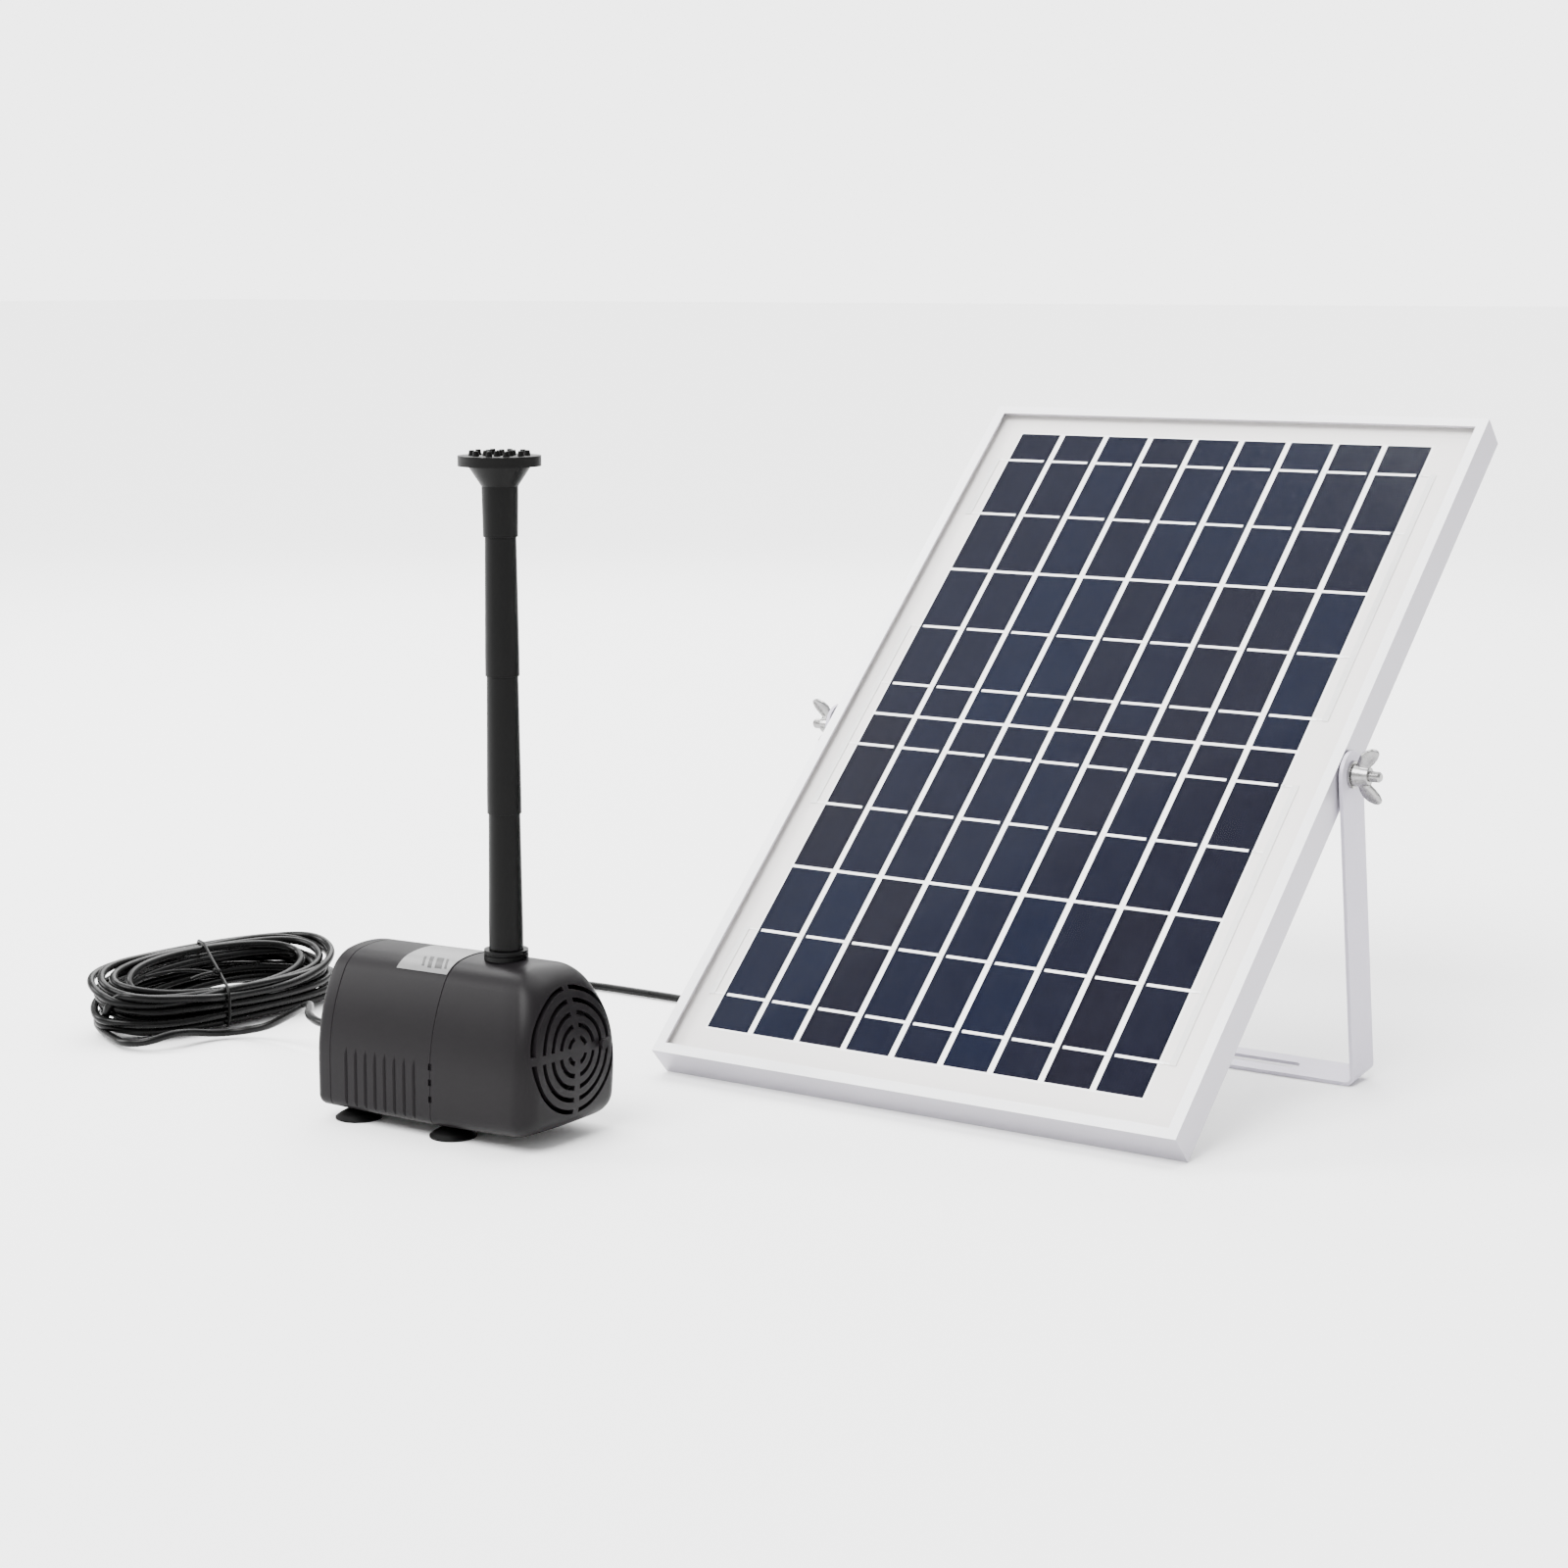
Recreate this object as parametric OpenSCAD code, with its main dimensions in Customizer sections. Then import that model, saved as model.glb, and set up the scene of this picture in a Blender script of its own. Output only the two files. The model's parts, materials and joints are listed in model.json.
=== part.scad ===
// Solar fountain pump: a framed solar panel on a folding stand, a submersible pump
// with a stacked riser and spray head, and the lead that joins them.
// X runs across the panel, Y runs from front to back and Z is up.

/* [Panel] */
// Width of the framed panel
panel_w = 225; // [200:1:260]
// Length of the framed panel
panel_l = 345; // [320:1:380]
// Thickness of the frame
panel_t = 14; // [13:0.5:20]
// Tilt of the panel from the floor
tilt = 43.2; // [35:0.1:50]
// Wall of the frame extrusion
rail_wall = 1.2; // [1:0.1:2]
// Width of the lip in front of the glass
lip_w = 4.3; // [3:0.1:6]
// Width of the flange behind the frame
flange_w = 12; // [8:0.5:14]
// Thickness of the glass
glass_t = 2.2; // [2:0.1:3]

/* [Cells] */
// Height of a half cell
cell_h = 77.8; // [70:0.1:80]
// Width of a half cell
cell_w = 18.6; // [16:0.1:20]
// Spacing of the cell columns
cell_pitch = 21.2; // [19:0.1:22]
// Gap between two rows of cells
row_gap = 1.5; // [1:0.1:3]
// How far the grid of cells sits off the panel's middle line
grid_x = -2.5; // [-4:0.1:4]
// How far the grid of cells sits above the panel's middle
grid_y = 1.8; // [-4:0.1:4]
// Number of columns
columns = 9; // [7:1:9]
// Width of a busbar ribbon
ribbon_w = 1.3; // [1:0.1:2]

/* [Stand] */
// Lean of the stand's arms from upright
lean = 8.3; // [5:0.1:16]
// Width of the flat bar
bar_w = 18; // [16:0.5:24]
// Thickness of the flat bar
bar_t = 1.4; // [1.2:0.1:2]
// Diameter of the pivot bolt's shank
bolt_d = 4; // [3:0.5:5]
// Width of the slots in the base bar
slot_w = 5.5; // [4:0.5:7]
// Length of each slot in the base bar
slot_l = 60; // [30:1:80]

/* [Pump] */
// Length of the pump's body
pump_l = 100.4; // [95:0.1:110]
// Width of the pump's body
pump_w = 53.4; // [50:0.1:58]
// Height of the pump's floor above the standing surface
pump_foot = 4.8; // [4:0.1:8]
// Height of the pump's crown above the standing surface
pump_top = 62.2; // [60:0.1:64]
// Wall of the pump's shells
shell_t = 2.2; // [1.8:0.1:3]
// Length of the rear cap
cap_l = 7.3; // [5:0.1:9]
// Length of the motor housing behind the front cover
housing_l = 47.5; // [44:0.5:50]
// Height of the grille's centre
grille_z = 33.5; // [30:0.5:35]
// Width of a grille slot
grille_slot = 1.7; // [1.2:0.1:2]

/* [Riser] */
// Distance of the riser's axis from the pump's rear
riser_x = 68.4; // [66:0.1:72]
// Visible length of one riser tube
tube_l = 48.7; // [40:0.1:56]
// Diameter of a riser tube at its lower end
tube_d = 12.2; // [11:0.1:13]
// Diameter of the spray head
head_d = 29; // [24:0.1:34]

/* [Cord] */
// Diameter of the lead
cord_d = 3.2; // [2.5:0.1:4]
// Width of the tied hank
hank_w = 62; // [56:1:66]
// Length of the tied hank
hank_l = 124; // [110:1:130]
// Height of the tied hank
hank_h = 26; // [22:1:30]

/* [Hidden] */
$fn = 48;
CLEAR = 0.1;
half_w = panel_w / 2;
half_l = panel_l / 2;
half_t = panel_t / 2;

// Depths of the layers behind the front lip, measured from the middle of the frame
lip_t = 1;
glass_hi = half_t - lip_t - 0.3;
glass_lo = glass_hi - glass_t;
ribbon_lo = glass_lo - 0.1;
cell_lo = ribbon_lo - 0.2;
film_lo = cell_lo - 0.15;
sheet_lo = film_lo - 0.15;
shelf_t = 1;
rim_play = 0.3;

// Cells: rows alternate between the two halves of a five-busbar cell
rows = 4;
grid_w = (columns - 1) * cell_pitch + cell_w;
grid_l = rows * cell_h + (rows - 1) * row_gap;
row_pitch = cell_h + row_gap;
cell_full = 156;
busbar_pitch = cell_full / 5;
connector_x = grid_w / 2 + 4.5;
connector_w = 2.6;

// Stand: its pivot lies a little behind the frame's middle plane and below the panel's middle
pivot_drop = 1.6;
pivot_low = 2.7;
spacer_t = 0.6;
arm_x = half_w + spacer_t + CLEAR;
arm_out = arm_x + bar_t;
washer_t = 0.8;
nut_x = arm_out + washer_t + 2 * CLEAR;
hub_l = 6;
bolt_end = nut_x + hub_l + 4.4;
bend_r = 2;
pivot_y = 5;
panel_z = half_l * sin(tilt) + half_t * cos(tilt);
pivot_z = panel_z - pivot_drop * cos(tilt) - pivot_low * sin(tilt);
pivot_back = pivot_y + pivot_drop * sin(tilt) - pivot_low * cos(tilt);
arm_l = (pivot_z - bar_w / 2 * sin(lean)) / cos(lean);

// Where the pump stands, from the middle of the panel
pump_x = -175.5;
pump_y = -217;

// The origin is under the middle of the whole object, without its lead
reach_y = pivot_y + half_l * cos(tilt) + half_t * sin(tilt);
origin_x = (pump_x + bolt_end) / 2;
origin_y = (pump_y - pump_w / 2 + reach_y) / 2;

// Pump
seam_x = cap_l + housing_l;
axis_z = 31;
crown_r = 45;
crown_a = 11;
corner_r = 14;
corner_a = 60;
sill_r = 4;
flank_r = (pump_w / 2 - (crown_r - corner_r) * sin(crown_a) - corner_r * sin(corner_a))
    / (1 - sin(corner_a));
can_r = 9.6;
rotor_r = 8.2;
shaft_r = 1.25;
chamber_x = seam_x + 4;
chamber_l = 20;
chamber_r = 17.5;
joint_z = [for (i = [0:3]) 66.4 + i * tube_l];
nipple_l = 8;
nipple_r = 4.4;
bore_r = 3.4;

// Nose of the front cover: side view of the face and brow, and the plan's front corners
nose_r = 48;
nose_z = 35;
brow_r = 16;
brow_a = asin((pump_top - nose_z - brow_r) / (nose_r - brow_r));
brow_c = [
    pump_l - nose_r + (nose_r - brow_r) * cos(brow_a),
    nose_z + (nose_r - brow_r) * sin(brow_a)
];
cheek_r = 6.5;

// Grille: the ring slots, the spokes between them and the ring that the adjuster's peg runs in
slot_radii = [for (i = [0:4]) 21.9 - 4.3 * i];
spoke_w = 3;
peg_ring = 2;
adjuster_x = pump_l - 7.7;
adjuster_t = 1.4;

// Small pieces on the pump's shells
gland_z = 27;
stem_r = 2;
stem_l = 1.8;
label_l = 24.2;
label_y = [-16, 5];
cup_r = 8.5;
cup_x = [12.3, seam_x + 2.5];
cup_y = 17.5;
collar_r = 7.9;
groove_first = 15;
groove_pitch = 4.6;
groove_count = 8;
groove_top = 29;
board_w = 32;
board_t = 1.6;
board_x = 14;

// Spray head
neck_z = joint_z[3] + 17.5;
disc_z = neck_z + 7;
disc_t = 2.2;

// Junction box on the back of the panel
jb_v = 50;
jb_w = 46;
jb_l = 56;
jb_h = 15;
jb_wall = 2;
jb_lid_t = 3;
gland_n = sheet_lo - 8;
gland_l = 13;
gland_v = jb_v - jb_l / 2 - gland_l;
gland_mouth = [
    0,
    pivot_y + gland_v * cos(tilt) - gland_n * sin(tilt),
    panel_z + gland_v * sin(tilt) + gland_n * cos(tilt)
];

// Lead from the pump to the hank, from the middle of the panel
pump_route = [
    [-187.5, -217, 27], [-198, -217, 27], [-210, -210, 27], [-222, -197, 26], [-234, -185, 23],
    [-247, -176, 18], [-260, -171, 12], [-273, -169, 6], [-285, -172, 3], [-291, -180, 3],
    [-293, -190, 5], [-294, -200, 6], [-299, -209, 4], [-309, -212, 3], [-322, -207, 3]
];

// Lead from the hank to the junction box, from the middle of the panel
panel_route = [
    [-316, -83, 4], [-305, -66, 3], [-288, -50, 1.8], [-270, -36, 1.8], [-248, -26, 1.8],
    [-224, -21, 1.8], [-200, -20, 1.8], [-176, -20, 1.8], [-150, -22, 1.8], [-120, -26, 1.8],
    [-90, -29, 1.8], [-62, -29, 1.8], [-42, -28, 3], [-26, -26, 8], [-14, -24, 20],
    [-7, -22, 38], [-4, -19, 58], [-2, -14, 78], [-1, -8, 96], [0, 0, 110], [0, 8, 119],
    gland_mouth
];

hank_at = [-321, -145];
hank_turn = 84;

// ---- Places ----

// Everything is drawn from the middle of the panel's front edge and moved to the origin
module placed() {
    translate([-origin_x, -origin_y, 0]) children();
}

// The panel's own frame: X across, Y along its length and Z out of its face
module on_panel() {
    placed() translate([0, pivot_y, panel_z]) rotate([tilt, 0, 0]) children();
}

// The frame of the cell grid, set on the panel
module on_grid() {
    on_panel() translate([grid_x, grid_y, 0]) children();
}

// The stand's own frame: X along the pivot axis and -Z down the arms
module on_stand() {
    placed() translate([0, pivot_back, pivot_z]) rotate([lean, 0, 0]) children();
}

// The pump's own frame: X from its rear face forward and Z up from the floor
module on_pump() {
    placed() translate([pump_x, pump_y, 0]) children();
}

// ---- Shared shapes ----

// A cylinder along X from x0 to x1
module rod_x(x0, x1, r) {
    translate([x0, 0, 0]) rotate([0, 90, 0]) cylinder(h = x1 - x0, r = r);
}

// A tube along X
module tube_x(x0, x1, r_out, r_in) {
    difference() {
        rod_x(x0, x1, r_out);
        rod_x(x0 - 1, x1 + 1, r_in);
    }
}

// A block given by its two corners
module block(lo, hi) {
    translate(lo) cube(hi - lo);
}

// A flat plate with a rectangular window
module ring_plate(w, l, lo, hi, border) {
    difference() {
        block([-w / 2, -l / 2, lo], [w / 2, l / 2, hi]);
        block([border - w / 2, border - l / 2, lo - 1], [w / 2 - border, l / 2 - border, hi + 1]);
    }
}

// A slot along X with round ends, cut through Z
module slot_z(x0, x1, w, lo, hi) {
    r = w / 2;
    block([x0 + r, -r, lo], [x1 - r, r, hi]);
    for (x = [x0 + r, x1 - r]) translate([x, 0, lo]) cylinder(h = hi - lo, r = r);
}

// ---- Panel frame ----

// Section of the frame extrusion, from its outer face inward
module rail_section() {
    translate([0, -half_t]) square([rail_wall, panel_t]);
    translate([0, half_t - lip_t]) square([lip_w, lip_t]);
    translate([0, sheet_lo - shelf_t]) square([lip_w + 1, shelf_t]);
    translate([0, -half_t]) square([flange_w, rail_wall]);
}

// One rail of a given length, mitred at both ends, with its outer face at -offset
module rail(length, offset) {
    intersection() {
        translate([-offset, length / 2, 0]) rotate([90, 0, 0])
            linear_extrude(height = length) rail_section();
        translate([-offset, 0, -half_t - 1]) linear_extrude(height = panel_t + 2)
            polygon([[0, -length / 2], [0, length / 2], [20, length / 2 - 20], [20, 20 - length / 2]]);
    }
}

module side_rail() {
    difference() {
        rail(panel_l, half_w);
        translate([0, -pivot_low, -pivot_drop]) rod_x(-half_w - 1, -half_w + 3, bolt_d / 2);
    }
}

module frame_rail_left() {
    color("gainsboro") on_panel() side_rail();
}

module frame_rail_right() {
    color("gainsboro") on_panel() mirror([1, 0, 0]) side_rail();
}

module frame_rail_top() {
    color("gainsboro") on_panel() rotate([0, 0, -90]) rail(panel_w, half_l);
}

module frame_rail_bottom() {
    color("gainsboro") on_panel() rotate([0, 0, 90]) rail(panel_w, half_l);
}

// Angle keys pressed into the rails at the four corners
module corner_key() {
    lo = rail_wall - half_t;
    hi = sheet_lo - shelf_t;
    leg = 22;
    width = 4;
    block([0, 0, lo], [leg, width, hi]);
    block([0, width, lo], [width, leg, hi]);
}

module corner_keys() {
    color("silver") on_panel()
        for (sx = [0, 1]) for (sy = [0, 1])
            mirror([sx, 0, 0]) mirror([0, sy, 0])
                translate([rail_wall - half_w, rail_wall - half_l, 0]) corner_key();
}

// ---- Laminate ----

module sheet(lo, hi) {
    w = panel_w - 2 * (rail_wall + rim_play);
    l = panel_l - 2 * (rail_wall + rim_play);
    block([-w / 2, -l / 2, lo], [w / 2, l / 2, hi]);
}

module glass() {
    color([0.85, 0.9, 0.93, 0.5]) on_panel() sheet(glass_lo, glass_hi);
}

module glass_gasket() {
    color("whitesmoke") on_panel()
        ring_plate(panel_w - 2 * rail_wall, panel_l - 2 * rail_wall, glass_hi, half_t - lip_t, 2.6);
}

module encapsulant() {
    color("white") on_panel() sheet(film_lo, cell_lo);
}

module backsheet() {
    color("white") on_panel() sheet(sheet_lo, film_lo);
}

// Lower edge of a row, where row 0 is at the top of the panel
function row_y(r) = grid_l / 2 - cell_h - r * row_pitch;

module cell_row(r) {
    color("midnightblue") on_grid()
        for (c = [0:columns - 1])
            translate([c * cell_pitch - grid_w / 2, row_y(r), cell_lo])
                cube([cell_w, cell_h, ribbon_lo - cell_lo]);
}

module cell_row_1() { cell_row(0); }
module cell_row_2() { cell_row(1); }
module cell_row_3() { cell_row(2); }
module cell_row_4() { cell_row(3); }

// Height of ribbon k in row r: one half of a cell starts half a pitch down, the other a whole pitch
function ribbon_y(r, k) = row_y(r) + cell_h - busbar_pitch * (r % 2 == 0 ? 0.5 + k : 1 + k);

module busbar_ribbons() {
    color("lightgray") on_grid()
        for (r = [0:rows - 1]) for (k = [0, 1])
            translate([-connector_x, ribbon_y(r, k) - ribbon_w / 2, ribbon_lo])
                cube([2 * connector_x, ribbon_w, glass_lo - ribbon_lo]);
}

// A strip in the margin that joins the ribbons between two heights
module connector(side, y0, y1) {
    x0 = side * (connector_x + connector_w / 2);
    translate([x0 - connector_w / 2, y0 - ribbon_w / 2, ribbon_lo])
        cube([connector_w, y1 - y0 + ribbon_w, glass_lo - ribbon_lo]);
}

module string_connectors() {
    color("silver") on_grid() {
        connector(-1, ribbon_y(0, 1), ribbon_y(0, 0));
        connector(1, ribbon_y(1, 1), ribbon_y(0, 0));
        connector(-1, ribbon_y(2, 1), ribbon_y(1, 0));
        connector(1, ribbon_y(3, 1), ribbon_y(2, 0));
        connector(-1, ribbon_y(3, 1), ribbon_y(3, 0));
    }
}

// ---- Junction box ----

module junction_box_base() {
    hi = sheet_lo;
    lo = sheet_lo - jb_h + jb_lid_t;
    color("black") on_panel() difference() {
        translate([0, jb_v, 0]) block([-jb_w / 2, -jb_l / 2, lo], [jb_w / 2, jb_l / 2, hi]);
        translate([0, jb_v, 0])
            block([jb_wall - jb_w / 2, jb_wall - jb_l / 2, lo - 1],
                [jb_w / 2 - jb_wall, jb_l / 2 - jb_wall, hi - jb_wall]);
        translate([0, jb_v - jb_l / 2 - 1, gland_n]) rotate([-90, 0, 0])
            cylinder(h = jb_wall + 2, r = 3);
    }
}

module junction_box_lid() {
    hi = sheet_lo - jb_h + jb_lid_t;
    color("black") on_panel() difference() {
        translate([0, jb_v, 0])
            block([-jb_w / 2, -jb_l / 2, hi - jb_lid_t], [jb_w / 2, jb_l / 2, hi]);
        at_lid_screws() translate([0, 0, hi - jb_lid_t - 1]) cylinder(h = jb_lid_t + 2, r = 1);
    }
}

module at_lid_screws() {
    for (sx = [-1, 1]) for (sy = [-1, 1])
        translate([sx * (jb_w / 2 - 5), jb_v + sy * (jb_l / 2 - 5), 0]) children();
}

module lid_screws() {
    face = sheet_lo - jb_h;
    color("silver") on_panel() at_lid_screws() {
        translate([0, 0, face - 1.2]) cylinder(h = 1.2, r = 2.2);
        translate([0, 0, face]) cylinder(h = 8, r = 1);
    }
}

// Cable gland: a threaded stem, a hexagon and a domed nut, bored for the lead
module junction_box_gland() {
    color("black") on_panel() translate([0, jb_v - jb_l / 2, gland_n]) rotate([90, 0, 0])
        difference() {
            union() {
                translate([0, 0, -jb_wall - 2]) cylinder(h = jb_wall + 2, r = 3);
                cylinder(h = 3, r = 5.5, $fn = 6);
                translate([0, 0, 3]) cylinder(h = 6, r = 4.8);
                translate([0, 0, 9]) cylinder(h = gland_l - 9, r1 = 4.8, r2 = 2.6);
            }
            translate([0, 0, -5]) cylinder(h = gland_l + 6, r = cord_d / 2);
        }
}

module terminal_block() {
    hi = sheet_lo - jb_wall;
    color("ivory") on_panel() translate([0, jb_v + 8, 0])
        difference() {
            block([-10, -6, hi - 7], [10, 6, hi]);
            for (sx = [-1, 1]) translate([sx * 5, 0, hi - 8]) cylinder(h = 5, r = 1.8);
        }
}

module blocking_diode() {
    z = sheet_lo - jb_wall - 2.6;
    color("dimgray") on_panel() translate([0, jb_v - 8, z]) {
        rod_x(-4.5, 4.5, 2.6);
        rod_x(-12, -4.5, 0.6);
        rod_x(4.5, 12, 0.6);
    }
}

// ---- Stand ----

// Both sides of something drawn for the right-hand side
module both_sides() {
    children();
    mirror([1, 0, 0]) children();
}

module pivot_bolts() {
    head_t = 2.6;
    inner = half_w - rail_wall;
    color("silver") on_stand() both_sides() {
        rod_x(inner - head_t, inner, 3.4);
        rod_x(inner, bolt_end - 0.8, bolt_d / 2);
        translate([bolt_end - 0.8, 0, 0]) rotate([0, 90, 0])
            cylinder(h = 0.8, r1 = bolt_d / 2, r2 = bolt_d / 2 - 0.6);
    }
}

module spacer_washers() {
    color("white") on_stand() both_sides() tube_x(half_w, half_w + spacer_t, 5, bolt_d / 2);
}

// Outline of the bent bar seen from the front, with rounded lower corners
module u_outline(half, low, r) {
    translate([-half, low + r]) square([2 * half, arm_l + bar_w - r]);
    translate([-half + r, low]) square([2 * (half - r), r]);
    for (s = [-1, 1]) translate([s * (half - r), low + r]) circle(r = r);
}

module stand_bracket() {
    slot_out = arm_x - 25.5;
    color("lavender") on_stand() difference() {
        intersection() {
            translate([0, bar_w / 2, 0]) rotate([90, 0, 0]) linear_extrude(height = bar_w)
                difference() {
                    u_outline(arm_out, -arm_l, bend_r + bar_t);
                    u_outline(arm_x, -arm_l + bar_t, bend_r);
                }
            union() {
                rod_x(-arm_out, arm_out, bar_w / 2);
                block([-arm_out, -bar_w / 2, -arm_l - 1], [arm_out, bar_w / 2, 0]);
            }
        }
        rod_x(-arm_out - 1, arm_out + 1, bolt_d / 2 + 0.05);
        for (s = [-1, 1])
            translate([s * (slot_out - slot_l / 2), 0, 0])
                slot_z(-slot_l / 2, slot_l / 2, slot_w, -arm_l - 1, -arm_l + bar_t + 1);
    }
}

module bracket_washers() {
    color("silver") on_stand() both_sides()
        tube_x(arm_out + CLEAR, arm_out + CLEAR + washer_t, 5.2, bolt_d / 2);
}

// Wing nut with its hub on the X axis: two leaves lean outward from the hub
module wing_nut() {
    hub_r = 4.2;
    leaf_t = 1.8;
    turn = 22;
    rotate([-turn, 0, 0]) difference() {
        union() {
            translate([nut_x, 0, 0]) rotate([0, 90, 0]) cylinder(h = hub_l, r1 = hub_r, r2 = 3.4);
            for (s = [0, 1]) mirror([0, 0, s])
                translate([nut_x, leaf_t / 2, 0]) rotate([90, 0, 0]) linear_extrude(height = leaf_t) {
                    polygon([[0.6, 2.6], [5.4, 2.6], [9.6, 6.2], [4.6, 9.2], [0.6, 5]]);
                    translate([7.1, 8]) circle(r = 3.1);
                }
        }
        rod_x(nut_x - 1, nut_x + hub_l + 8, bolt_d / 2 + 0.05);
    }
}

module wing_nut_right() {
    color("silver") on_stand() wing_nut();
}

module wing_nut_left() {
    color("silver") on_stand() mirror([1, 0, 0]) wing_nut();
}

// ---- Pump shells ----

function arc(c, r, a0, a1, n) =
    [for (i = [0:n]) let(a = a0 + (a1 - a0) * i / n) [c[0] + r * sin(a), c[1] + r * cos(a)]];

// Centres of the crown, the shoulder, the flank and the sill of the body's section
crown_c = [0, pump_top - crown_r];
shoulder_c = crown_c + (crown_r - corner_r) * [sin(crown_a), cos(crown_a)];
flank_c = shoulder_c + (corner_r - flank_r) * [sin(corner_a), cos(corner_a)];
sill_c = [pump_w / 2 - sill_r, pump_foot + sill_r];

// One side of the body's section, moved inward by t
function half_section(t) = concat(
    arc(crown_c, crown_r - t, 0, crown_a, 4),
    arc(shoulder_c, corner_r - t, crown_a + 6, corner_a, 10),
    arc(flank_c, flank_r - t, corner_a + 2, 90, 8),
    arc(sill_c, max(0.3, sill_r - t), 90, 180, 4)
);

function mirrored(points) = [for (i = [len(points) - 1:-1:1]) [-points[i][0], points[i][1]]];

// The body's section, extruded along X
module body_bar(x0, x1, t) {
    translate([x0, 0, 0]) rotate([90, 0, 90]) linear_extrude(height = x1 - x0)
        polygon(concat(half_section(t), mirrored(half_section(t))));
}

// Side view of the cover's nose: upright face, leaning brow and round top
function nose_line(t) = concat(
    [[seam_x - 60, -5], [pump_l - t, -5]],
    [for (i = [0:8]) let(a = brow_a * i / 8)
        [pump_l - nose_r + (nose_r - t) * cos(a), nose_z + (nose_r - t) * sin(a)]],
    [for (i = [1:10]) let(a = brow_a + (90 - brow_a) * i / 10)
        [brow_c[0] + (brow_r - t) * cos(a), brow_c[1] + (brow_r - t) * sin(a)]],
    [[seam_x - 60, brow_c[1] + brow_r - t]]
);

// The nose: the section trimmed by the side view and by a plan with round front corners
module nose(x0, t) {
    side = pump_w / 2 - t;
    intersection() {
        body_bar(x0, pump_l - t, t);
        translate([0, pump_w, 0]) rotate([90, 0, 0]) linear_extrude(height = 2 * pump_w)
            polygon(nose_line(t));
        linear_extrude(height = pump_top + 10) {
            translate([x0, -side]) square([pump_l - cheek_r - x0, 2 * side]);
            translate([x0, cheek_r - t - side]) square([pump_l - t - x0, 2 * (side + t - cheek_r)]);
            for (s = [-1, 1])
                translate([pump_l - cheek_r, s * (side + t - cheek_r)]) circle(r = cheek_r - t);
        }
    }
}

// Ring slots of the grille; the third ring stays open on the side where the adjuster's peg runs
module grille_slots() {
    translate([0, 0, grille_z]) difference() {
        for (r = slot_radii) tube_x(pump_l - 14.5, pump_l + 1, r + grille_slot / 2, r - grille_slot / 2);
        difference() {
            for (a = [0, 90]) rotate([a, 0, 0])
                block([pump_l - 15, -spoke_w / 2, -30], [pump_l + 2, spoke_w / 2, 30]);
            peg_r = slot_radii[peg_ring];
            intersection() {
                tube_x(pump_l - 16, pump_l + 3, peg_r + grille_slot, peg_r - grille_slot);
                block([pump_l - 16, 0, -10], [pump_l + 3, 30, 10]);
            }
        }
    }
}

module front_cover() {
    color([0.24, 0.23, 0.24]) on_pump() difference() {
        union() {
            difference() {
                nose(seam_x, 0);
                nose(seam_x - 1, shell_t);
            }
            translate([0, 0, grille_z]) rod_x(adjuster_x - 0.2, pump_l - shell_t, 2);
        }
        grille_slots();
        cup_holes();
        translate([riser_x, 0, pump_top - 8]) cylinder(h = 20, r = 6.6);
    }
}

module motor_housing() {
    color([0.25, 0.24, 0.25]) on_pump() difference() {
        union() {
            difference() {
                body_bar(cap_l, seam_x, 0);
                body_bar(cap_l - 1, seam_x - shell_t, shell_t);
            }
            translate([0, 0, axis_z]) rod_x(22, seam_x, can_r + 1.2);
        }
        translate([0, 0, axis_z]) rod_x(24, seam_x + 1, can_r);
        for (i = [0:groove_count - 1]) for (s = [-1, 1])
            translate([groove_first + groove_pitch * i, s * pump_w / 2, 0])
                block([-0.6, -0.7, pump_foot - 1], [0.6, 0.7, groove_top]);
        cup_holes();
    }
}

module rear_cap() {
    edge = 2.5;
    color([0.24, 0.23, 0.24]) on_pump() difference() {
        union() {
            body_bar(edge, cap_l - 0.5, 0);
            body_bar(cap_l - 0.5, cap_l, 0.8);
            for (a = [20, 50]) body_bar(edge * (1 - sin(a)), edge + 0.1, edge * (1 - cos(a)));
            body_bar(0, edge, edge);
        }
        body_bar(shell_t, cap_l + 1, shell_t);
        translate([0, 0, gland_z]) rod_x(-1, 10, 3);
        at_housing_screws() rod_x(-1, 10, 1.3);
    }
}

module at_housing_screws() {
    for (s = [-1, 1]) for (z = [14, 44]) translate([0, s * 15, z]) children();
}

module housing_screws() {
    color("dimgray") on_pump() at_housing_screws() {
        rod_x(-0.8, shell_t - 1, 1.3);
        rod_x(shell_t - 1, 14, 1.3);
    }
}

module at_cups() {
    for (x = cup_x) for (s = [-1, 1]) translate([x, s * cup_y, 0]) children();
}

module cup_holes() {
    at_cups() translate([0, 0, pump_foot - 1]) cylinder(h = stem_l + 1, r = stem_r);
}

// Suction cup: thin bell and a stem pressed into the pump's floor
module suction_cups() {
    color([0.12, 0.12, 0.12]) on_pump() at_cups() rotate_extrude() polygon([
        [0, 1.6], [3, 1.5], [6, 0.8], [cup_r - 0.4, 0], [cup_r, 0], [cup_r, 0.5], [6.8, 1.8],
        [4.4, 3.1], [2.6, 3.8], [2.6, pump_foot], [stem_r, pump_foot], [stem_r, pump_foot + stem_l], [0, pump_foot + stem_l]
    ]);
}

// Label that follows the crown of the housing
module rating_label() {
    color("white") on_pump() intersection() {
        difference() {
            body_bar(seam_x - label_l, seam_x - 0.3, -0.2);
            body_bar(seam_x - label_l - 1, seam_x, 0);
        }
        block([0, label_y[0], 50], [seam_x, label_y[1], 70]);
    }
}

// ---- Pump works ----

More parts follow.
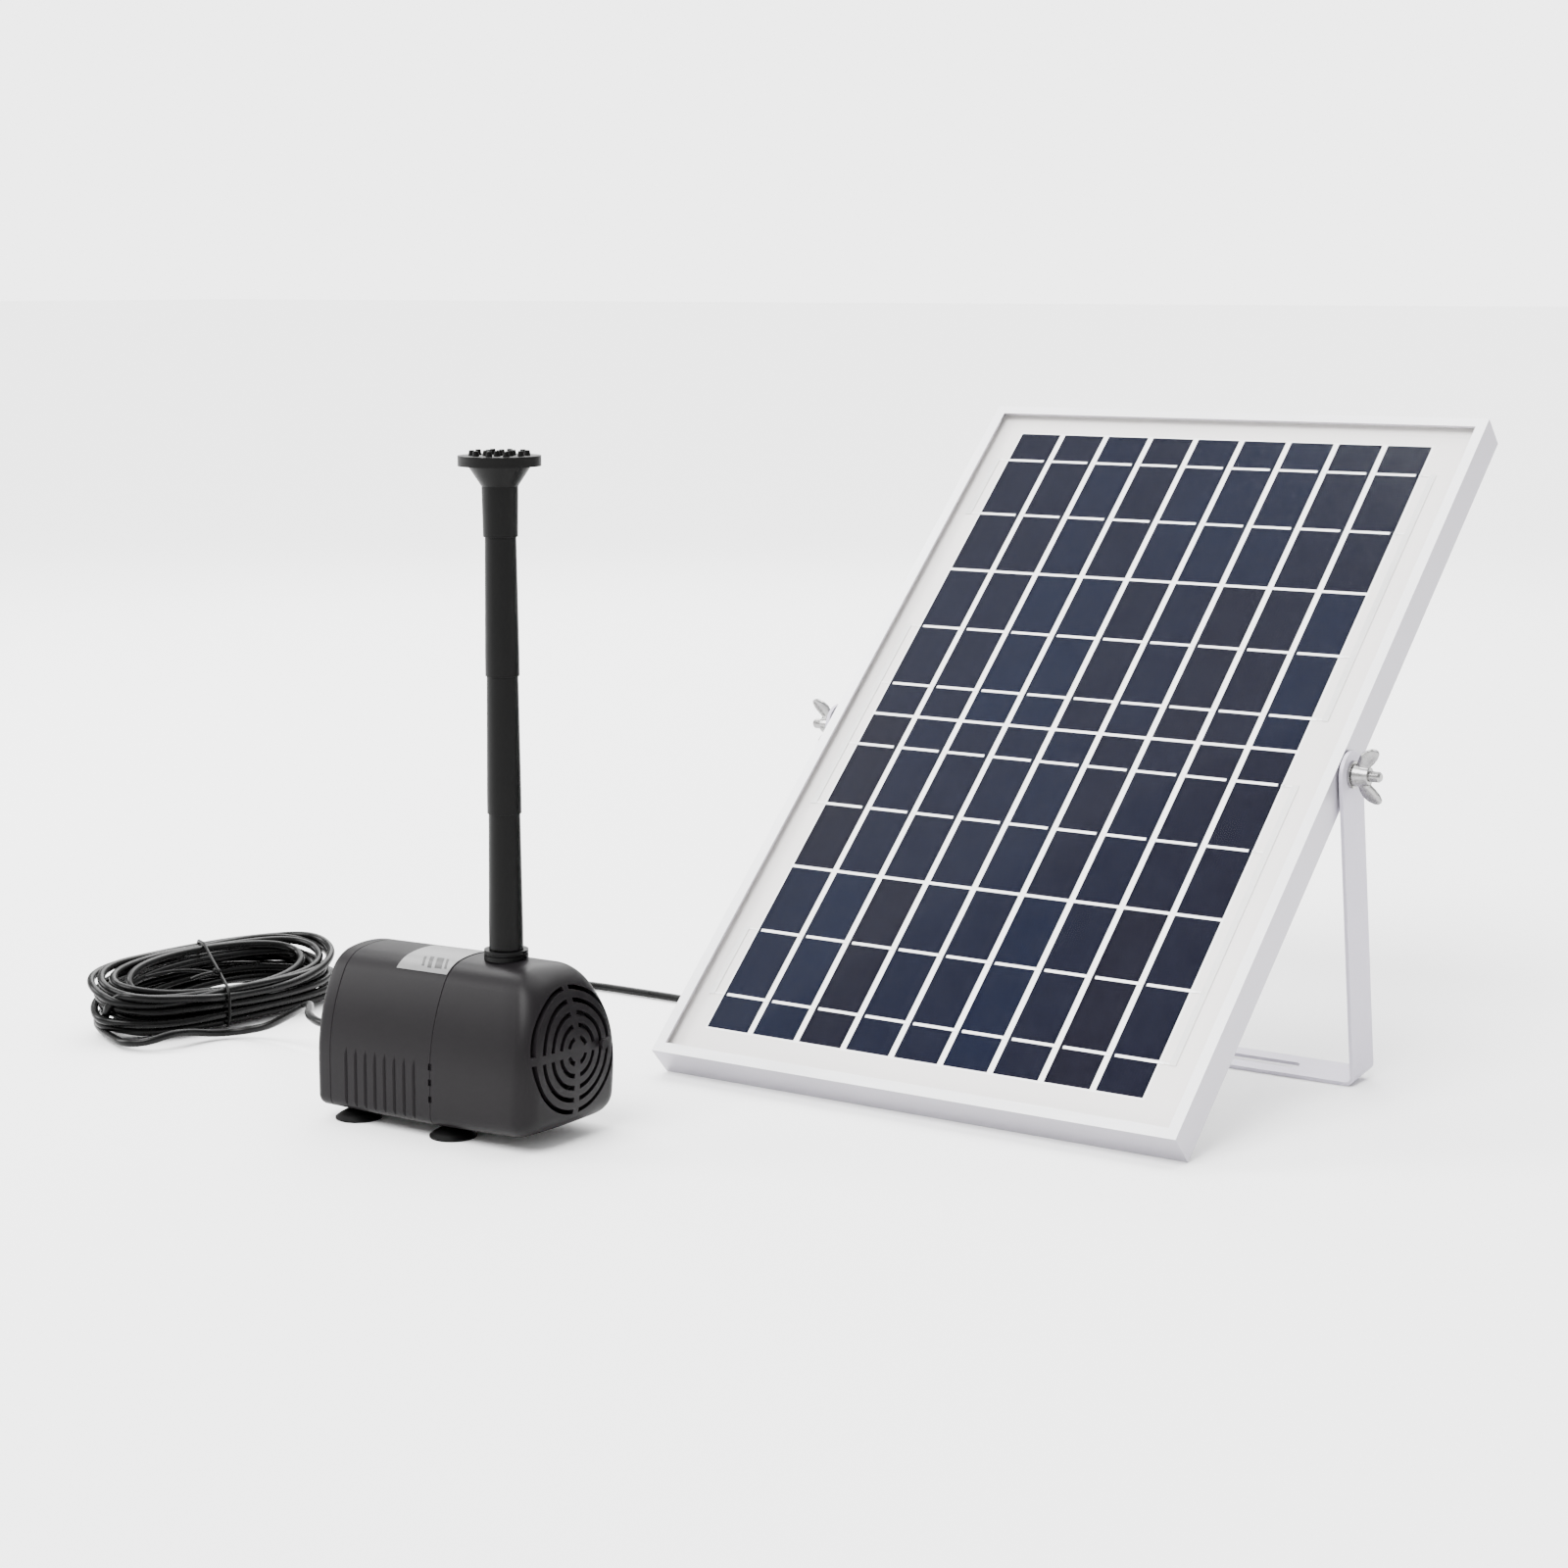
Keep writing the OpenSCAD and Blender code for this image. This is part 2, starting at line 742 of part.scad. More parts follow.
// Cover of the pumping chamber with its inlet, shaft spider and outlet neck
module chamber_cover() {
    front = chamber_x + chamber_l;
    color([0.3, 0.3, 0.3]) on_pump() difference() {
        union() {
            translate([0, 0, axis_z]) rod_x(seam_x + 0.1, front, chamber_r);
            translate([riser_x, 0, axis_z]) cylinder(h = 27, r = 6);
        }
        translate([0, 0, axis_z]) rod_x(seam_x, front - 2, chamber_r - 2);
        translate([riser_x, 0, axis_z]) cylinder(h = 30, r = 4);
        translate([0, 0, axis_z]) difference() {
            rod_x(front - 3, front + 1, 7);
            rod_x(front - 4, front + 2, 2.6);
            for (a = [0, 120, 240]) rotate([a, 0, 0]) block([front - 4, -0.8, 0], [front + 2, 0.8, 8]);
        }
        translate([0, 0, axis_z]) rod_x(front - 3, front - 0.8, shaft_r);
    }
}

module chamber_seal() {
    color("black") on_pump() translate([0, 0, axis_z])
        tube_x(seam_x, seam_x + 3, chamber_r + 1.4, chamber_r);
}

module filter_foam() {
    color([0.15, 0.15, 0.16]) on_pump()
        block([82, -16, axis_z - 14], [88, 16, axis_z + 14]);
}

module stator_core() {
    color("slategray") on_pump() translate([0, 0, axis_z]) difference() {
        union() {
            tube_x(30, 44, 20, 17);
            for (a = [45, 135]) rotate([a, 0, 0]) block([30, -3, -18], [44, 3, 18]);
        }
        rod_x(29, 45, can_r + 1.3);
    }
}

module stator_coils() {
    color("peru") on_pump() translate([0, 0, axis_z])
        for (a = [45:90:315]) rotate([a, 0, 0]) difference() {
            block([27.5, -5.2, 12.2], [46.5, 5.2, 16]);
            block([29.9, -3.05, 12], [44.1, 3.05, 17]);
        }
}

// Driver board with a chip, a capacitor and a Hall sensor
module control_board() {
    face = board_x + board_t;
    color("darkgreen") on_pump() {
        block([board_x, -board_w / 2, 14], [face, board_w / 2, 45]);
        block([face, -5, 16], [face + 1.6, 5, 24]);
        translate([0, 10, 38]) rod_x(face, face + 5.4, 3);
        block([face, -2, 28], [face + 2, 2, 33]);
    }
}

module rotor_shaft() {
    color("whitesmoke") on_pump() translate([0, 0, axis_z])
        rod_x(24.2, chamber_x + chamber_l - 1, shaft_r);
}

module shaft_bushes() {
    color("ivory") on_pump() translate([0, 0, axis_z]) {
        tube_x(24, 26.5, 3, shaft_r);
        tube_x(chamber_x + chamber_l - 4.6, chamber_x + chamber_l - 3, 3, shaft_r);
    }
}

module rotor_magnet() {
    color("gray") on_pump() translate([0, 0, axis_z]) tube_x(27, seam_x - 1, rotor_r, shaft_r + 0.05);
}

// Impeller: a back disc, a hub and six straight blades, fixed to the magnet
module impeller() {
    back = seam_x - 1;
    color("ivory") on_pump() translate([0, 0, axis_z]) difference() {
        union() {
            rod_x(back, back + 8, 6);
            rod_x(back + 4, back + 6, 13);
            rod_x(back + 8, back + 17, 3.4);
            for (i = [0:5]) rotate([60 * i, 0, 0]) block([back + 6, -0.7, 2.6], [back + 15, 0.7, 13]);
        }
        rod_x(back - 1, back + 18, shaft_r + 0.05);
    }
}

// Shutter behind the grille, turned by a peg that runs in the third ring slot
module flow_adjuster() {
    peg_r = slot_radii[peg_ring];
    color([0.2, 0.2, 0.2]) on_pump() translate([0, 0, grille_z]) {
        difference() {
            union() {
                rod_x(adjuster_x, adjuster_x + adjuster_t, 15.5);
                translate([0, peg_r, 0]) rod_x(adjuster_x + adjuster_t / 2, pump_l + 0.4, 0.6);
                translate([0, peg_r, 0]) rod_x(pump_l + 0.4, pump_l + 1.8, 1.7);
            }
            rod_x(adjuster_x - 1, adjuster_x + adjuster_t + 1, 2.05);
            for (i = [0:3]) rotate([90 * i, 0, 0]) translate([0, 8, 8])
                rod_x(adjuster_x - 1, adjuster_x + adjuster_t + 1, 2.4);
        }
    }
}

// ---- Riser ----

// Adapter: a spigot down into the neck, a collar on the cover and a nipple for the first tube
module outlet_adapter() {
    color([0.11, 0.11, 0.12]) on_pump() translate([riser_x, 0, 0]) rotate_extrude() polygon([
        [bore_r - 0.6, 50], [4, 50], [4, 58], [6.5, 58], [6.5, pump_top + 0.2],
        [collar_r, pump_top + 0.4], [collar_r, 64.3], [collar_r - 0.8, 64.3],
        [collar_r - 0.8, 65.1], [collar_r, 65.1], [collar_r, 66.2], [nipple_r, 66.2], [nipple_r, joint_z[0] + nipple_l], [bore_r, joint_z[0] + nipple_l],
        [bore_r - 0.6, joint_z[0]]
    ]);
}

module outlet_seal() {
    color("black") on_pump() translate([riser_x, 0, 64.7]) rotate_extrude()
        translate([collar_r - 0.4, 0]) circle(r = 0.36, $fn = 24);
}

// One riser tube: wider socket at the foot, a slight taper and a narrower nipple at the top
module riser_tube(i) {
    lo = joint_z[i];
    hi = joint_z[i + 1] - CLEAR;
    r_lo = tube_d / 2 - 0.05 * i;
    color([0.12, 0.12, 0.13]) on_pump() translate([riser_x, 0, 0]) rotate_extrude() polygon([
        [nipple_r + 0.05, lo], [r_lo, lo], [r_lo, lo + nipple_l], [r_lo - 0.5, hi],
        [nipple_r, hi], [nipple_r, hi + nipple_l], [bore_r, hi + nipple_l],
        [bore_r, lo + nipple_l + 0.4], [nipple_r + 0.05, lo + nipple_l + 0.4]
    ]);
}

module riser_tube_1() { riser_tube(0); }
module riser_tube_2() { riser_tube(1); }
module riser_tube_3() { riser_tube(2); }

// Nozzle: a socket, a flaring cone and a shallow dish
module nozzle_body() {
    lo = joint_z[3];
    color([0.1, 0.1, 0.1]) on_pump() translate([riser_x, 0, 0]) rotate_extrude() polygon([
        [nipple_r + 0.05, lo], [6.1, lo], [6.4, neck_z], [11, disc_z], [head_d / 2, disc_z],
        [head_d / 2, disc_z + disc_t], [9.2, disc_z + disc_t], [5, neck_z + 1], [bore_r, neck_z - 2],
        [bore_r, lo + nipple_l + 0.4], [nipple_r + 0.05, lo + nipple_l + 0.4]
    ]);
}

// Plate on the nozzle with rings of spray nubs, each one bored
module nozzle_plate() {
    lo = disc_z + disc_t;
    nubs = [[0, 0], for (i = [0:5]) 5 * [cos(60 * i), sin(60 * i)],
        for (i = [0:9]) 9.6 * [cos(36 * i), sin(36 * i)]];
    color([0.1, 0.1, 0.1]) on_pump() translate([riser_x, 0, lo]) difference() {
        union() {
            cylinder(h = 1.4, r = head_d / 2);
            for (p = nubs) translate([p[0], p[1], 1.4]) cylinder(h = 1.8, r1 = 1.2, r2 = 0.9);
        }
        for (p = nubs) if (norm(p) < 9) translate([p[0], p[1], -1]) cylinder(h = 6, r = 0.45);
    }
}

// ---- Lead ----

// Strain relief where the lead leaves the rear cap
module pump_gland() {
    color("black") on_pump() translate([0, 0, gland_z]) rotate([0, -90, 0]) difference() {
        union() {
            translate([0, 0, -shell_t - 1]) cylinder(h = shell_t + 1, r = 3);
            cylinder(h = 2, r = 4.4);
            translate([0, 0, 2]) cylinder(h = 10, r1 = 3.6, r2 = 2.3);
        }
        translate([0, 0, -5]) cylinder(h = 20, r = cord_d / 2);
    }
}

function unit(v) = v / norm(v);

// Direction of the route at point i
function heading(route, i) =
    unit(route[min(i + 1, len(route) - 1)] - route[max(i - 1, 0)]);

// A smooth curve through the route's points: a cubic between each pair
function bend(a, b, c, d, t) =
    0.5 * (2 * b + (c - a) * t + (2 * a - 5 * b + 4 * c - d) * t * t
        + (3 * b - a - 3 * c + d) * t * t * t);
function smooth(route, steps) = [
    for (i = [0:len(route) - 2]) for (s = [0:steps - 1])
        bend(route[max(i - 1, 0)], route[i], route[i + 1], route[min(i + 2, len(route) - 1)],
            s / steps),
    route[len(route) - 1]
];

// A tube of eight sides swept along the route
module swept_tube(route, d) {
    sides = 8;
    rings = [for (i = [0:len(route) - 1])
        let(ahead = heading(route, i),
            across = unit(cross(ahead, abs(ahead[2]) > 0.9 ? [0, 1, 0] : [0, 0, 1])),
            over = cross(across, ahead))
        for (k = [0:sides - 1])
            route[i] + d / 2 * (cos(360 * k / sides) * across + sin(360 * k / sides) * over)];
    count = len(route);
    polyhedron(points = rings, faces = concat(
        [[for (k = [0:sides - 1]) k]],
        [for (i = [0:count - 2]) for (k = [0:sides - 1])
            let(a = i * sides + k, b = i * sides + (k + 1) % sides)
            [a, a + sides, b + sides, b]],
        [[for (k = [sides - 1:-1:0]) (count - 1) * sides + k]]
    ));
}

module pump_lead() {
    color("black") placed() swept_tube(smooth(pump_route, 2), cord_d);
}

module panel_lead() {
    color("black") placed() swept_tube(smooth(panel_route, 2), cord_d);
}

// The tied hank, as the outer shape of its turns
module cord_hank() {
    color("black") placed() translate([hank_at[0], hank_at[1], 0]) rotate([0, 0, hank_turn])
        linear_extrude(height = hank_h) {
            square([hank_l - hank_w, hank_w], center = true);
            for (s = [-1, 1]) translate([s * (hank_l - hank_w) / 2, 0]) circle(r = hank_w / 2);
        }
}

// Wire tie round the middle of the hank
module twist_tie() {
    tie_w = 2.4;
    tie_t = 0.8;
    color([0.1, 0.1, 0.1]) placed() translate([hank_at[0], hank_at[1], 0]) rotate([0, 0, hank_turn])
        difference() {
            block([-tie_w / 2, -hank_w / 2 - tie_t, 0], [tie_w / 2, hank_w / 2 + tie_t, hank_h + tie_t]);
            block([-tie_w, -hank_w / 2, -1], [tie_w, hank_w / 2, hank_h]);
        }
}

frame_rail_left();
frame_rail_right();
frame_rail_top();
frame_rail_bottom();
corner_keys();
glass();
glass_gasket();
encapsulant();
backsheet();
cell_row_1();
cell_row_2();
cell_row_3();
cell_row_4();
busbar_ribbons();
string_connectors();
junction_box_base();
junction_box_lid();
junction_box_gland();
terminal_block();
blocking_diode();
lid_screws();
pivot_bolts();
spacer_washers();
stand_bracket();
bracket_washers();
wing_nut_left();
wing_nut_right();
rear_cap();
motor_housing();
front_cover();
suction_cups();
rating_label();
housing_screws();
chamber_cover();
chamber_seal();
filter_foam();
stator_core();
stator_coils();
control_board();
rotor_shaft();
shaft_bushes();
rotor_magnet();
impeller();
flow_adjuster();
outlet_adapter();
outlet_seal();
riser_tube_1();
riser_tube_2();
riser_tube_3();
nozzle_body();
nozzle_plate();
pump_gland();
pump_lead();
cord_hank();
panel_lead();
twist_tie();
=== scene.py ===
"""Looks of the solar fountain pump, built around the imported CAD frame."""
import json
import math

import bmesh
import bpy
import numpy as np
from mathutils import Matrix, Vector


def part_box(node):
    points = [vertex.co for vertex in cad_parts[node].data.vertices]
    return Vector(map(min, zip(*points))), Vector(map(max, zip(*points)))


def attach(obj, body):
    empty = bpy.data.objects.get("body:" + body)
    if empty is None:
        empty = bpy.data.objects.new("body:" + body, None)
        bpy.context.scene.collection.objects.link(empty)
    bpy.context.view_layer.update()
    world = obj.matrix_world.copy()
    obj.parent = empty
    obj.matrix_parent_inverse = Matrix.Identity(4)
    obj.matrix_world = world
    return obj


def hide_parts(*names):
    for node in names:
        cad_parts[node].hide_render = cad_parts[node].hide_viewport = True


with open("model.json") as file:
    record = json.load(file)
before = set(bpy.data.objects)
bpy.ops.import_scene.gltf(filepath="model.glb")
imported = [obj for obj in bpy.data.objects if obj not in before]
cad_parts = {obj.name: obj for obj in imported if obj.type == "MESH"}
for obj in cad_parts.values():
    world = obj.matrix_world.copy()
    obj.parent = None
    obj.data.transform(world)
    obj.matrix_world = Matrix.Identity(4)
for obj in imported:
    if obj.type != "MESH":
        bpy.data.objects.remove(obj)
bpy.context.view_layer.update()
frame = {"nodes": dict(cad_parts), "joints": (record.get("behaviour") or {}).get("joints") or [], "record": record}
MM = 0.001
ROOT = "panel_and_pump"
record = frame["record"]
joints = {joint["name"]: joint for joint in frame["joints"]}


# ---- Places, read from the frame ----

def middle(node):
    low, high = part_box(node)
    return (low + high) / 2


glass_middle = middle("glass")
pivot = Vector(joints["stand_swing"]["pos_m"])
rail_low, rail_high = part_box("frame_rail_left")
TILT = math.radians(43.2)
panel_turn = Matrix.Rotation(TILT, 4, "X")
panel_middle = (rail_low + rail_high) / 2
panel_middle.x = glass_middle.x
panel_frame = Matrix.Translation(panel_middle) @ panel_turn

pump_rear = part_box("rear_cap")[0].x
pump_middle = middle("motor_housing").y
pump_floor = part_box("motor_housing")[0].z
pump_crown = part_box("motor_housing")[1].z
pump_half = (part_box("motor_housing")[1].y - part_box("motor_housing")[0].y) / 2
seam_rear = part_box("motor_housing")[0].x - pump_rear
seam_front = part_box("motor_housing")[1].x - pump_rear
pump_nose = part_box("front_cover")[1].x - pump_rear
grille_z = joints["flow_adjuster_turn"]["pos_m"][2]
riser_x = middle("riser_tube_1").x
# The lead's routes are written from the middle of the panel's front edge, this far behind the pump
PUMP_AHEAD = 217 * MM
route_shift = Vector((glass_middle.x, pump_middle + PUMP_AHEAD, 0))


def panel_span(*names):
    """Least and greatest corner of some nodes in the panel's own frame."""
    inverse = panel_frame.inverted()
    points = np.array([tuple(inverse @ v.co) for name in names for v in frame["nodes"][name].data.vertices])
    return points.min(axis=0), points.max(axis=0)


COLUMNS = 9
CELL_W = 18.6 * MM
grid_low, grid_high = panel_span("cell_row_1", "cell_row_2", "cell_row_3", "cell_row_4")
row_low = panel_span("cell_row_4")[0]
cell_pitch = (grid_high[0] - grid_low[0] - CELL_W) / (COLUMNS - 1)
row_pitch = panel_span("cell_row_3")[0][1] - row_low[1]


# ---- Camera, light and floor ----

CAMERA_TURN = 34.96
CAMERA_RISE = 9.03
CAMERA_AT = Vector((0.6349, -1.0168, 0.3019))
# Focal length as a share of the picture's width
FOCAL_SHARE = 2.038
SENSOR_W = 36
ROOM_GLOW = 1.1
BACKDROP_GLOW = 4.2
FLOOR_HALF = 30
# Keeps the floor just clear of what stands on it
FLOOR_DROP = 0.2 * MM


def make_camera():
    data = bpy.data.cameras.new("camera")
    data.sensor_width = SENSOR_W
    data.lens = SENSOR_W * FOCAL_SHARE
    data.clip_start = 0.05
    camera = bpy.data.objects.new("camera", data)
    camera.location = CAMERA_AT
    camera.rotation_euler = (math.radians(90 - CAMERA_RISE), 0, math.radians(CAMERA_TURN))
    bpy.context.scene.collection.objects.link(camera)
    bpy.context.scene.camera = camera


def area_light(name, at, aim, size, power):
    """A soft box: its place and what it faces in metres, its sides in metres and its watts."""
    data = bpy.data.lights.new(name, "AREA")
    data.shape = "RECTANGLE"
    data.size, data.size_y = size
    data.energy = power
    light = bpy.data.objects.new(name, data)
    light.location = at
    light.rotation_euler = (Vector(aim) - Vector(at)).to_track_quat("-Z", "Y").to_euler()
    bpy.context.scene.collection.objects.link(light)


def sun_light(name, toward, strength, spread):
    """A wide soft sun that shines along a direction, with its spread in degrees."""
    data = bpy.data.lights.new(name, "SUN")
    data.energy = strength
    data.angle = math.radians(spread)
    light = bpy.data.objects.new(name, data)
    light.rotation_euler = Vector(toward).to_track_quat("-Z", "Y").to_euler()
    bpy.context.scene.collection.objects.link(light)


def make_world():
    """A dim white room that is seen as a bright white backdrop."""
    world = bpy.data.worlds.new("studio")
    bpy.context.scene.world = world
    world.use_nodes = True
    nodes, links = world.node_tree.nodes, world.node_tree.links
    background = nodes["Background"]
    background.inputs["Color"].default_value = (1, 1, 1, 1)
    seen = nodes.new("ShaderNodeLightPath")
    strength = nodes.new("ShaderNodeMapRange")
    strength.inputs["To Min"].default_value = ROOM_GLOW
    strength.inputs["To Max"].default_value = BACKDROP_GLOW
    links.new(seen.outputs["Is Camera Ray"], strength.inputs["Value"])
    links.new(strength.outputs["Result"], background.inputs["Strength"])


def make_studio():
    area_light("left", (-1.9, -0.9, 1.0), (-0.15, -0.15, 0.08), (0.9, 0.9), 45)
    area_light("above", (-1.1, 0.16, 1.26), (-0.12, -0.16, 0.05), (0.4, 0.4), 9)
    area_light("rim", (-1.2, 1.5, 1.1), (-0.1, 0, 0.1), (1.2, 0.8), 18)
    sun_light("front", (0.05, 0.75, -1), 6.5, 40)
    sun_light("back", (0.15, -0.5, -1), 4.5, 60)
    make_world()
    mesh = bpy.data.meshes.new("floor")
    half = FLOOR_HALF
    mesh.from_pydata([(-half, -half, 0), (half, -half, 0), (half, half, 0), (-half, half, 0)],
                     [], [(0, 1, 2, 3)])
    floor = bpy.data.objects.new("floor", mesh)
    floor.location.z = -FLOOR_DROP
    bpy.context.scene.collection.objects.link(floor)
    floor.data.materials.append(floor_material())


# ---- Material helpers ----

class Shader:
    """A material's node tree, with short calls to add and join nodes."""

    def __init__(self, name):
        self.material = bpy.data.materials.new(name)
        self.material.use_nodes = True
        self.tree = self.material.node_tree
        self.surface = self.tree.nodes["Principled BSDF"]

    def add(self, kind, inputs=None, **settings):
        node = self.tree.nodes.new("ShaderNode" + kind)
        for key, value in settings.items():
            setattr(node, key, value)
        for key, value in (inputs or {}).items():
            self.put(node, key, value)
        return node

    def put(self, node, key, value):
        if isinstance(value, bpy.types.NodeSocket):
            self.tree.links.new(value, node.inputs[key])
        else:
            node.inputs[key].default_value = value

    def set(self, **inputs):
        for key, value in inputs.items():
            self.put(self.surface, key.replace("_", " "), value)

    def math(self, operation, a, b=0.0, clamp=False):
        return self.add("Math", {0: a, 1: b}, operation=operation, use_clamp=clamp).outputs[0]

    def mix(self, share, a, b):
        node = self.add("Mix", data_type="RGBA")
        for key, value in ((0, share), (6, a), (7, b)):
            self.put(node, key, value)
        return node.outputs[2]

    def near(self, value, centre, half):
        """1 where the value is within half of the centre, and 0 elsewhere."""
        off = self.math("ABSOLUTE", self.math("SUBTRACT", value, centre))
        return self.math("LESS_THAN", off, half)

    def span(self, value, low, high, to_low=0.0, to_high=1.0):
        return self.add("MapRange", {0: value, 1: low, 2: high, 3: to_low, 4: to_high}).outputs[0]

    def place(self):
        return self.add("TexCoord").outputs["Object"]

    def noise(self, scale, detail=3.0, where=None, rough=0.5):
        place = self.place() if where is None else where
        return self.add("TexNoise", {"Vector": place, "Scale": scale, "Detail": detail,
                                     "Roughness": rough}).outputs["Fac"]

    def stretched(self, scale, where=None):
        place = self.place() if where is None else where
        return self.add("Mapping", {"Vector": place, "Scale": scale}).outputs[0]

    def bump(self, height, depth, strength=1.0, under=None):
        inputs = {"Height": height, "Distance": depth, "Strength": strength}
        if under is not None:
            inputs["Normal"] = under
        return self.add("Bump", inputs).outputs[0]

    def panel_place(self):
        """Metres across the panel, along it and out of its face."""
        moved = self.add("VectorMath", {0: self.place(), 1: tuple(panel_middle)},
                         operation="SUBTRACT").outputs[0]
        return self.add("VectorRotate", {"Vector": moved, "Angle": -TILT},
                        rotation_type="X_AXIS").outputs[0]

    def edge_wear(self, radius=0.0008):
        """1 on convex edges and 0 elsewhere, from the surface's own curvature."""
        bevel = self.add("Bevel", {"Radius": radius}, samples=4).outputs[0]
        normal = self.add("NewGeometry").outputs["Normal"]
        same = self.add("VectorMath", {0: bevel, 1: normal}, operation="DOT_PRODUCT").outputs["Value"]
        return self.span(same, 0.98, 0.8)


def grey(value, tint=(1, 1, 1)):
    return tuple(value * t for t in tint) + (1,)


def floor_material():
    shader = Shader("floor")
    tone = shader.noise(3.0, 2)
    shader.set(Base_Color=shader.mix(tone, grey(0.93), grey(0.95)), Roughness=0.8)
    shader.set(Specular_IOR_Level=0.2)
    return shader.material


def aluminium_material():
    """Satin aluminium with painted shade: walls that turn away from the panel's face are painted darker and
    lavender-tinted, so the front lips are brighter than the walls.
    """
    shader = Shader("anodised_aluminium")
    streaks = shader.noise(1.0, 4, shader.stretched((60, 2500, 2500)))
    grain = shader.noise(2500, 2)
    cloud = shader.noise(14, 3)
    lip = shader.mix(cloud, grey(0.80, (0.98, 0.98, 1.0)), grey(0.87, (0.99, 0.99, 1.0)))
    # Painted shade: the walls, which turn away from the panel's face, take this darker lavender-grey in place of
    # the lips' tone
    wall = shader.mix(cloud, grey(0.40, (1.0, 0.965, 1.06)), grey(0.44, (1.0, 0.965, 1.06)))
    normal = shader.add("NewGeometry").outputs["True Normal"]
    face_out = tuple(panel_turn @ Vector((0, 0, 1)))
    painted_shade_facing = shader.add("VectorMath", {0: normal, 1: face_out}, operation="DOT_PRODUCT").outputs["Value"]
    shader.set(
        Metallic=0.82,
        Base_Color=shader.mix(shader.span(painted_shade_facing, 0.3, 0.8), wall, lip),
        Roughness=shader.span(streaks, 0.2, 0.8, 0.34, 0.46),
        Normal=shader.bump(grain, 0.00001, 0.5),
    )
    return shader.material


def glass_material():
    shader = Shader("panel_glass")
    ripple = shader.noise(900, 1)
    shine = shader.add("Fresnel", {"IOR": 1.42}).outputs[0]
    shader.set(
        Base_Color=grey(0.95),
        Metallic=1.0,
        Roughness=0.12,
        Alpha=shader.math("MULTIPLY", shine, 0.015),
        Normal=shader.bump(ripple, 0.00001, 0.05),
    )
    return shader.material


def sheet_material():
    """White sheet: bright between the cells and a duller warm tone in the margins."""
    shader = Shader("white_backsheet")
    cloud = shader.noise(45, 3)
    pores = shader.noise(1800, 2)
    rim = 0.8 * MM
    parts = shader.add("SeparateXYZ", {0: shader.panel_place()})
    under = None
    for k in (0, 1):
        centre = (grid_low[k] + grid_high[k]) / 2
        half = (grid_high[k] - grid_low[k]) / 2 + rim
        inside = shader.near(parts.outputs[k], centre, half)
        under = inside if under is None else shader.math("MULTIPLY", under, inside)
    margin = shader.mix(cloud, grey(0.70, (1.02, 0.985, 0.965)), grey(0.74, (1.015, 0.98, 0.96)))
    shader.set(
        Base_Color=shader.mix(under, margin, grey(0.93)),
        Roughness=0.55,
        Normal=shader.bump(pores, 0.00002, 0.4),
    )
    return shader.material


FINGER_PITCH = 1.15 * MM
# Half of a finger's width, as a share of the pitch
FINGER_HALF = 0.065


def cell_material(pitch_x, pitch_y, corner):
    """Blue silicon whose tint changes from cell to cell, with fine printed fingers."""
    shader = Shader("silicon_cell")
    place = shader.panel_place()
    parts = shader.add("SeparateXYZ", {0: place})
    across, along = (shader.math("DIVIDE", shader.math("SUBTRACT", parts.outputs[k], corner[k]), pitch)
                     for k, pitch in ((0, pitch_x), (1, pitch_y)))
    cell_key = shader.add("CombineXYZ", {0: shader.math("FLOOR", across),
                                         1: shader.math("FLOOR", along)}).outputs[0]
    tint = shader.add("TexWhiteNoise", {"Vector": cell_key}, noise_dimensions="2D").outputs["Value"]
    # Each cell takes its crystals from another part of the pattern
    jump = shader.add("VectorMath", {0: cell_key, 3: 0.37}, operation="SCALE").outputs[0]
    shifted = shader.add("VectorMath", {0: place, 1: jump}, operation="ADD").outputs[0]
    grains = shader.add("TexVoronoi", {"Vector": shifted, "Scale": 170.0}).outputs["Color"]
    grain = shader.add("SeparateXYZ", {0: grains}).outputs[0]
    cloud = shader.noise(38, 3, shifted)
    blue = shader.mix(cloud, (0.0026, 0.0038, 0.0115, 1), (0.0033, 0.0055, 0.016, 1))
    plum = shader.mix(cloud, (0.0036, 0.0032, 0.0068, 1), (0.0042, 0.0042, 0.0088, 1))
    base = shader.mix(tint, plum, blue)
    base = shader.mix(shader.span(grain, 0, 1, 0, 0.22), base, (0.006, 0.007, 0.014, 1))
    in_cell = shader.math("FRACT", across)
    cell_middle = CELL_W / pitch_x / 2
    wave = shader.math("FRACT", shader.math("DIVIDE", parts.outputs[0], FINGER_PITCH))
    inside = shader.near(in_cell, cell_middle, (CELL_W - 1.6 * MM) / pitch_x / 2)
    finger = shader.math("MULTIPLY", shader.near(wave, 0.5, FINGER_HALF), inside)
    colour = shader.mix(shader.math("MULTIPLY", finger, 0.5), base, (0.030, 0.032, 0.044, 1))
    core = shader.near(in_cell, cell_middle, (CELL_W - 0.9 * MM) / pitch_x / 2)
    edge = shader.math("SUBTRACT", 1.0, core)
    colour = shader.mix(shader.math("MULTIPLY", edge, 0.6), colour, (0.005, 0.005, 0.008, 1))
    shader.set(
        Base_Color=colour,
        Roughness=shader.span(grain, 0, 1, 0.34, 0.46),
        Specular_IOR_Level=0.02,
        Normal=shader.bump(finger, 0.00003, 0.6),
    )
    return shader.material


def ribbon_material():
    shader = Shader("tinned_ribbon")
    brush = shader.noise(1.0, 3, shader.stretched((500, 4000, 4000)))
    blotch = shader.noise(300, 3)
    shader.set(
        Base_Color=shader.mix(blotch, grey(0.82, (1, 1, 0.99)), grey(0.9)),
        Metallic=0.25,
        Roughness=shader.span(brush, 0.2, 0.8, 0.3, 0.5),
        Normal=shader.bump(brush, 0.00002, 0.5),
    )
    return shader.material


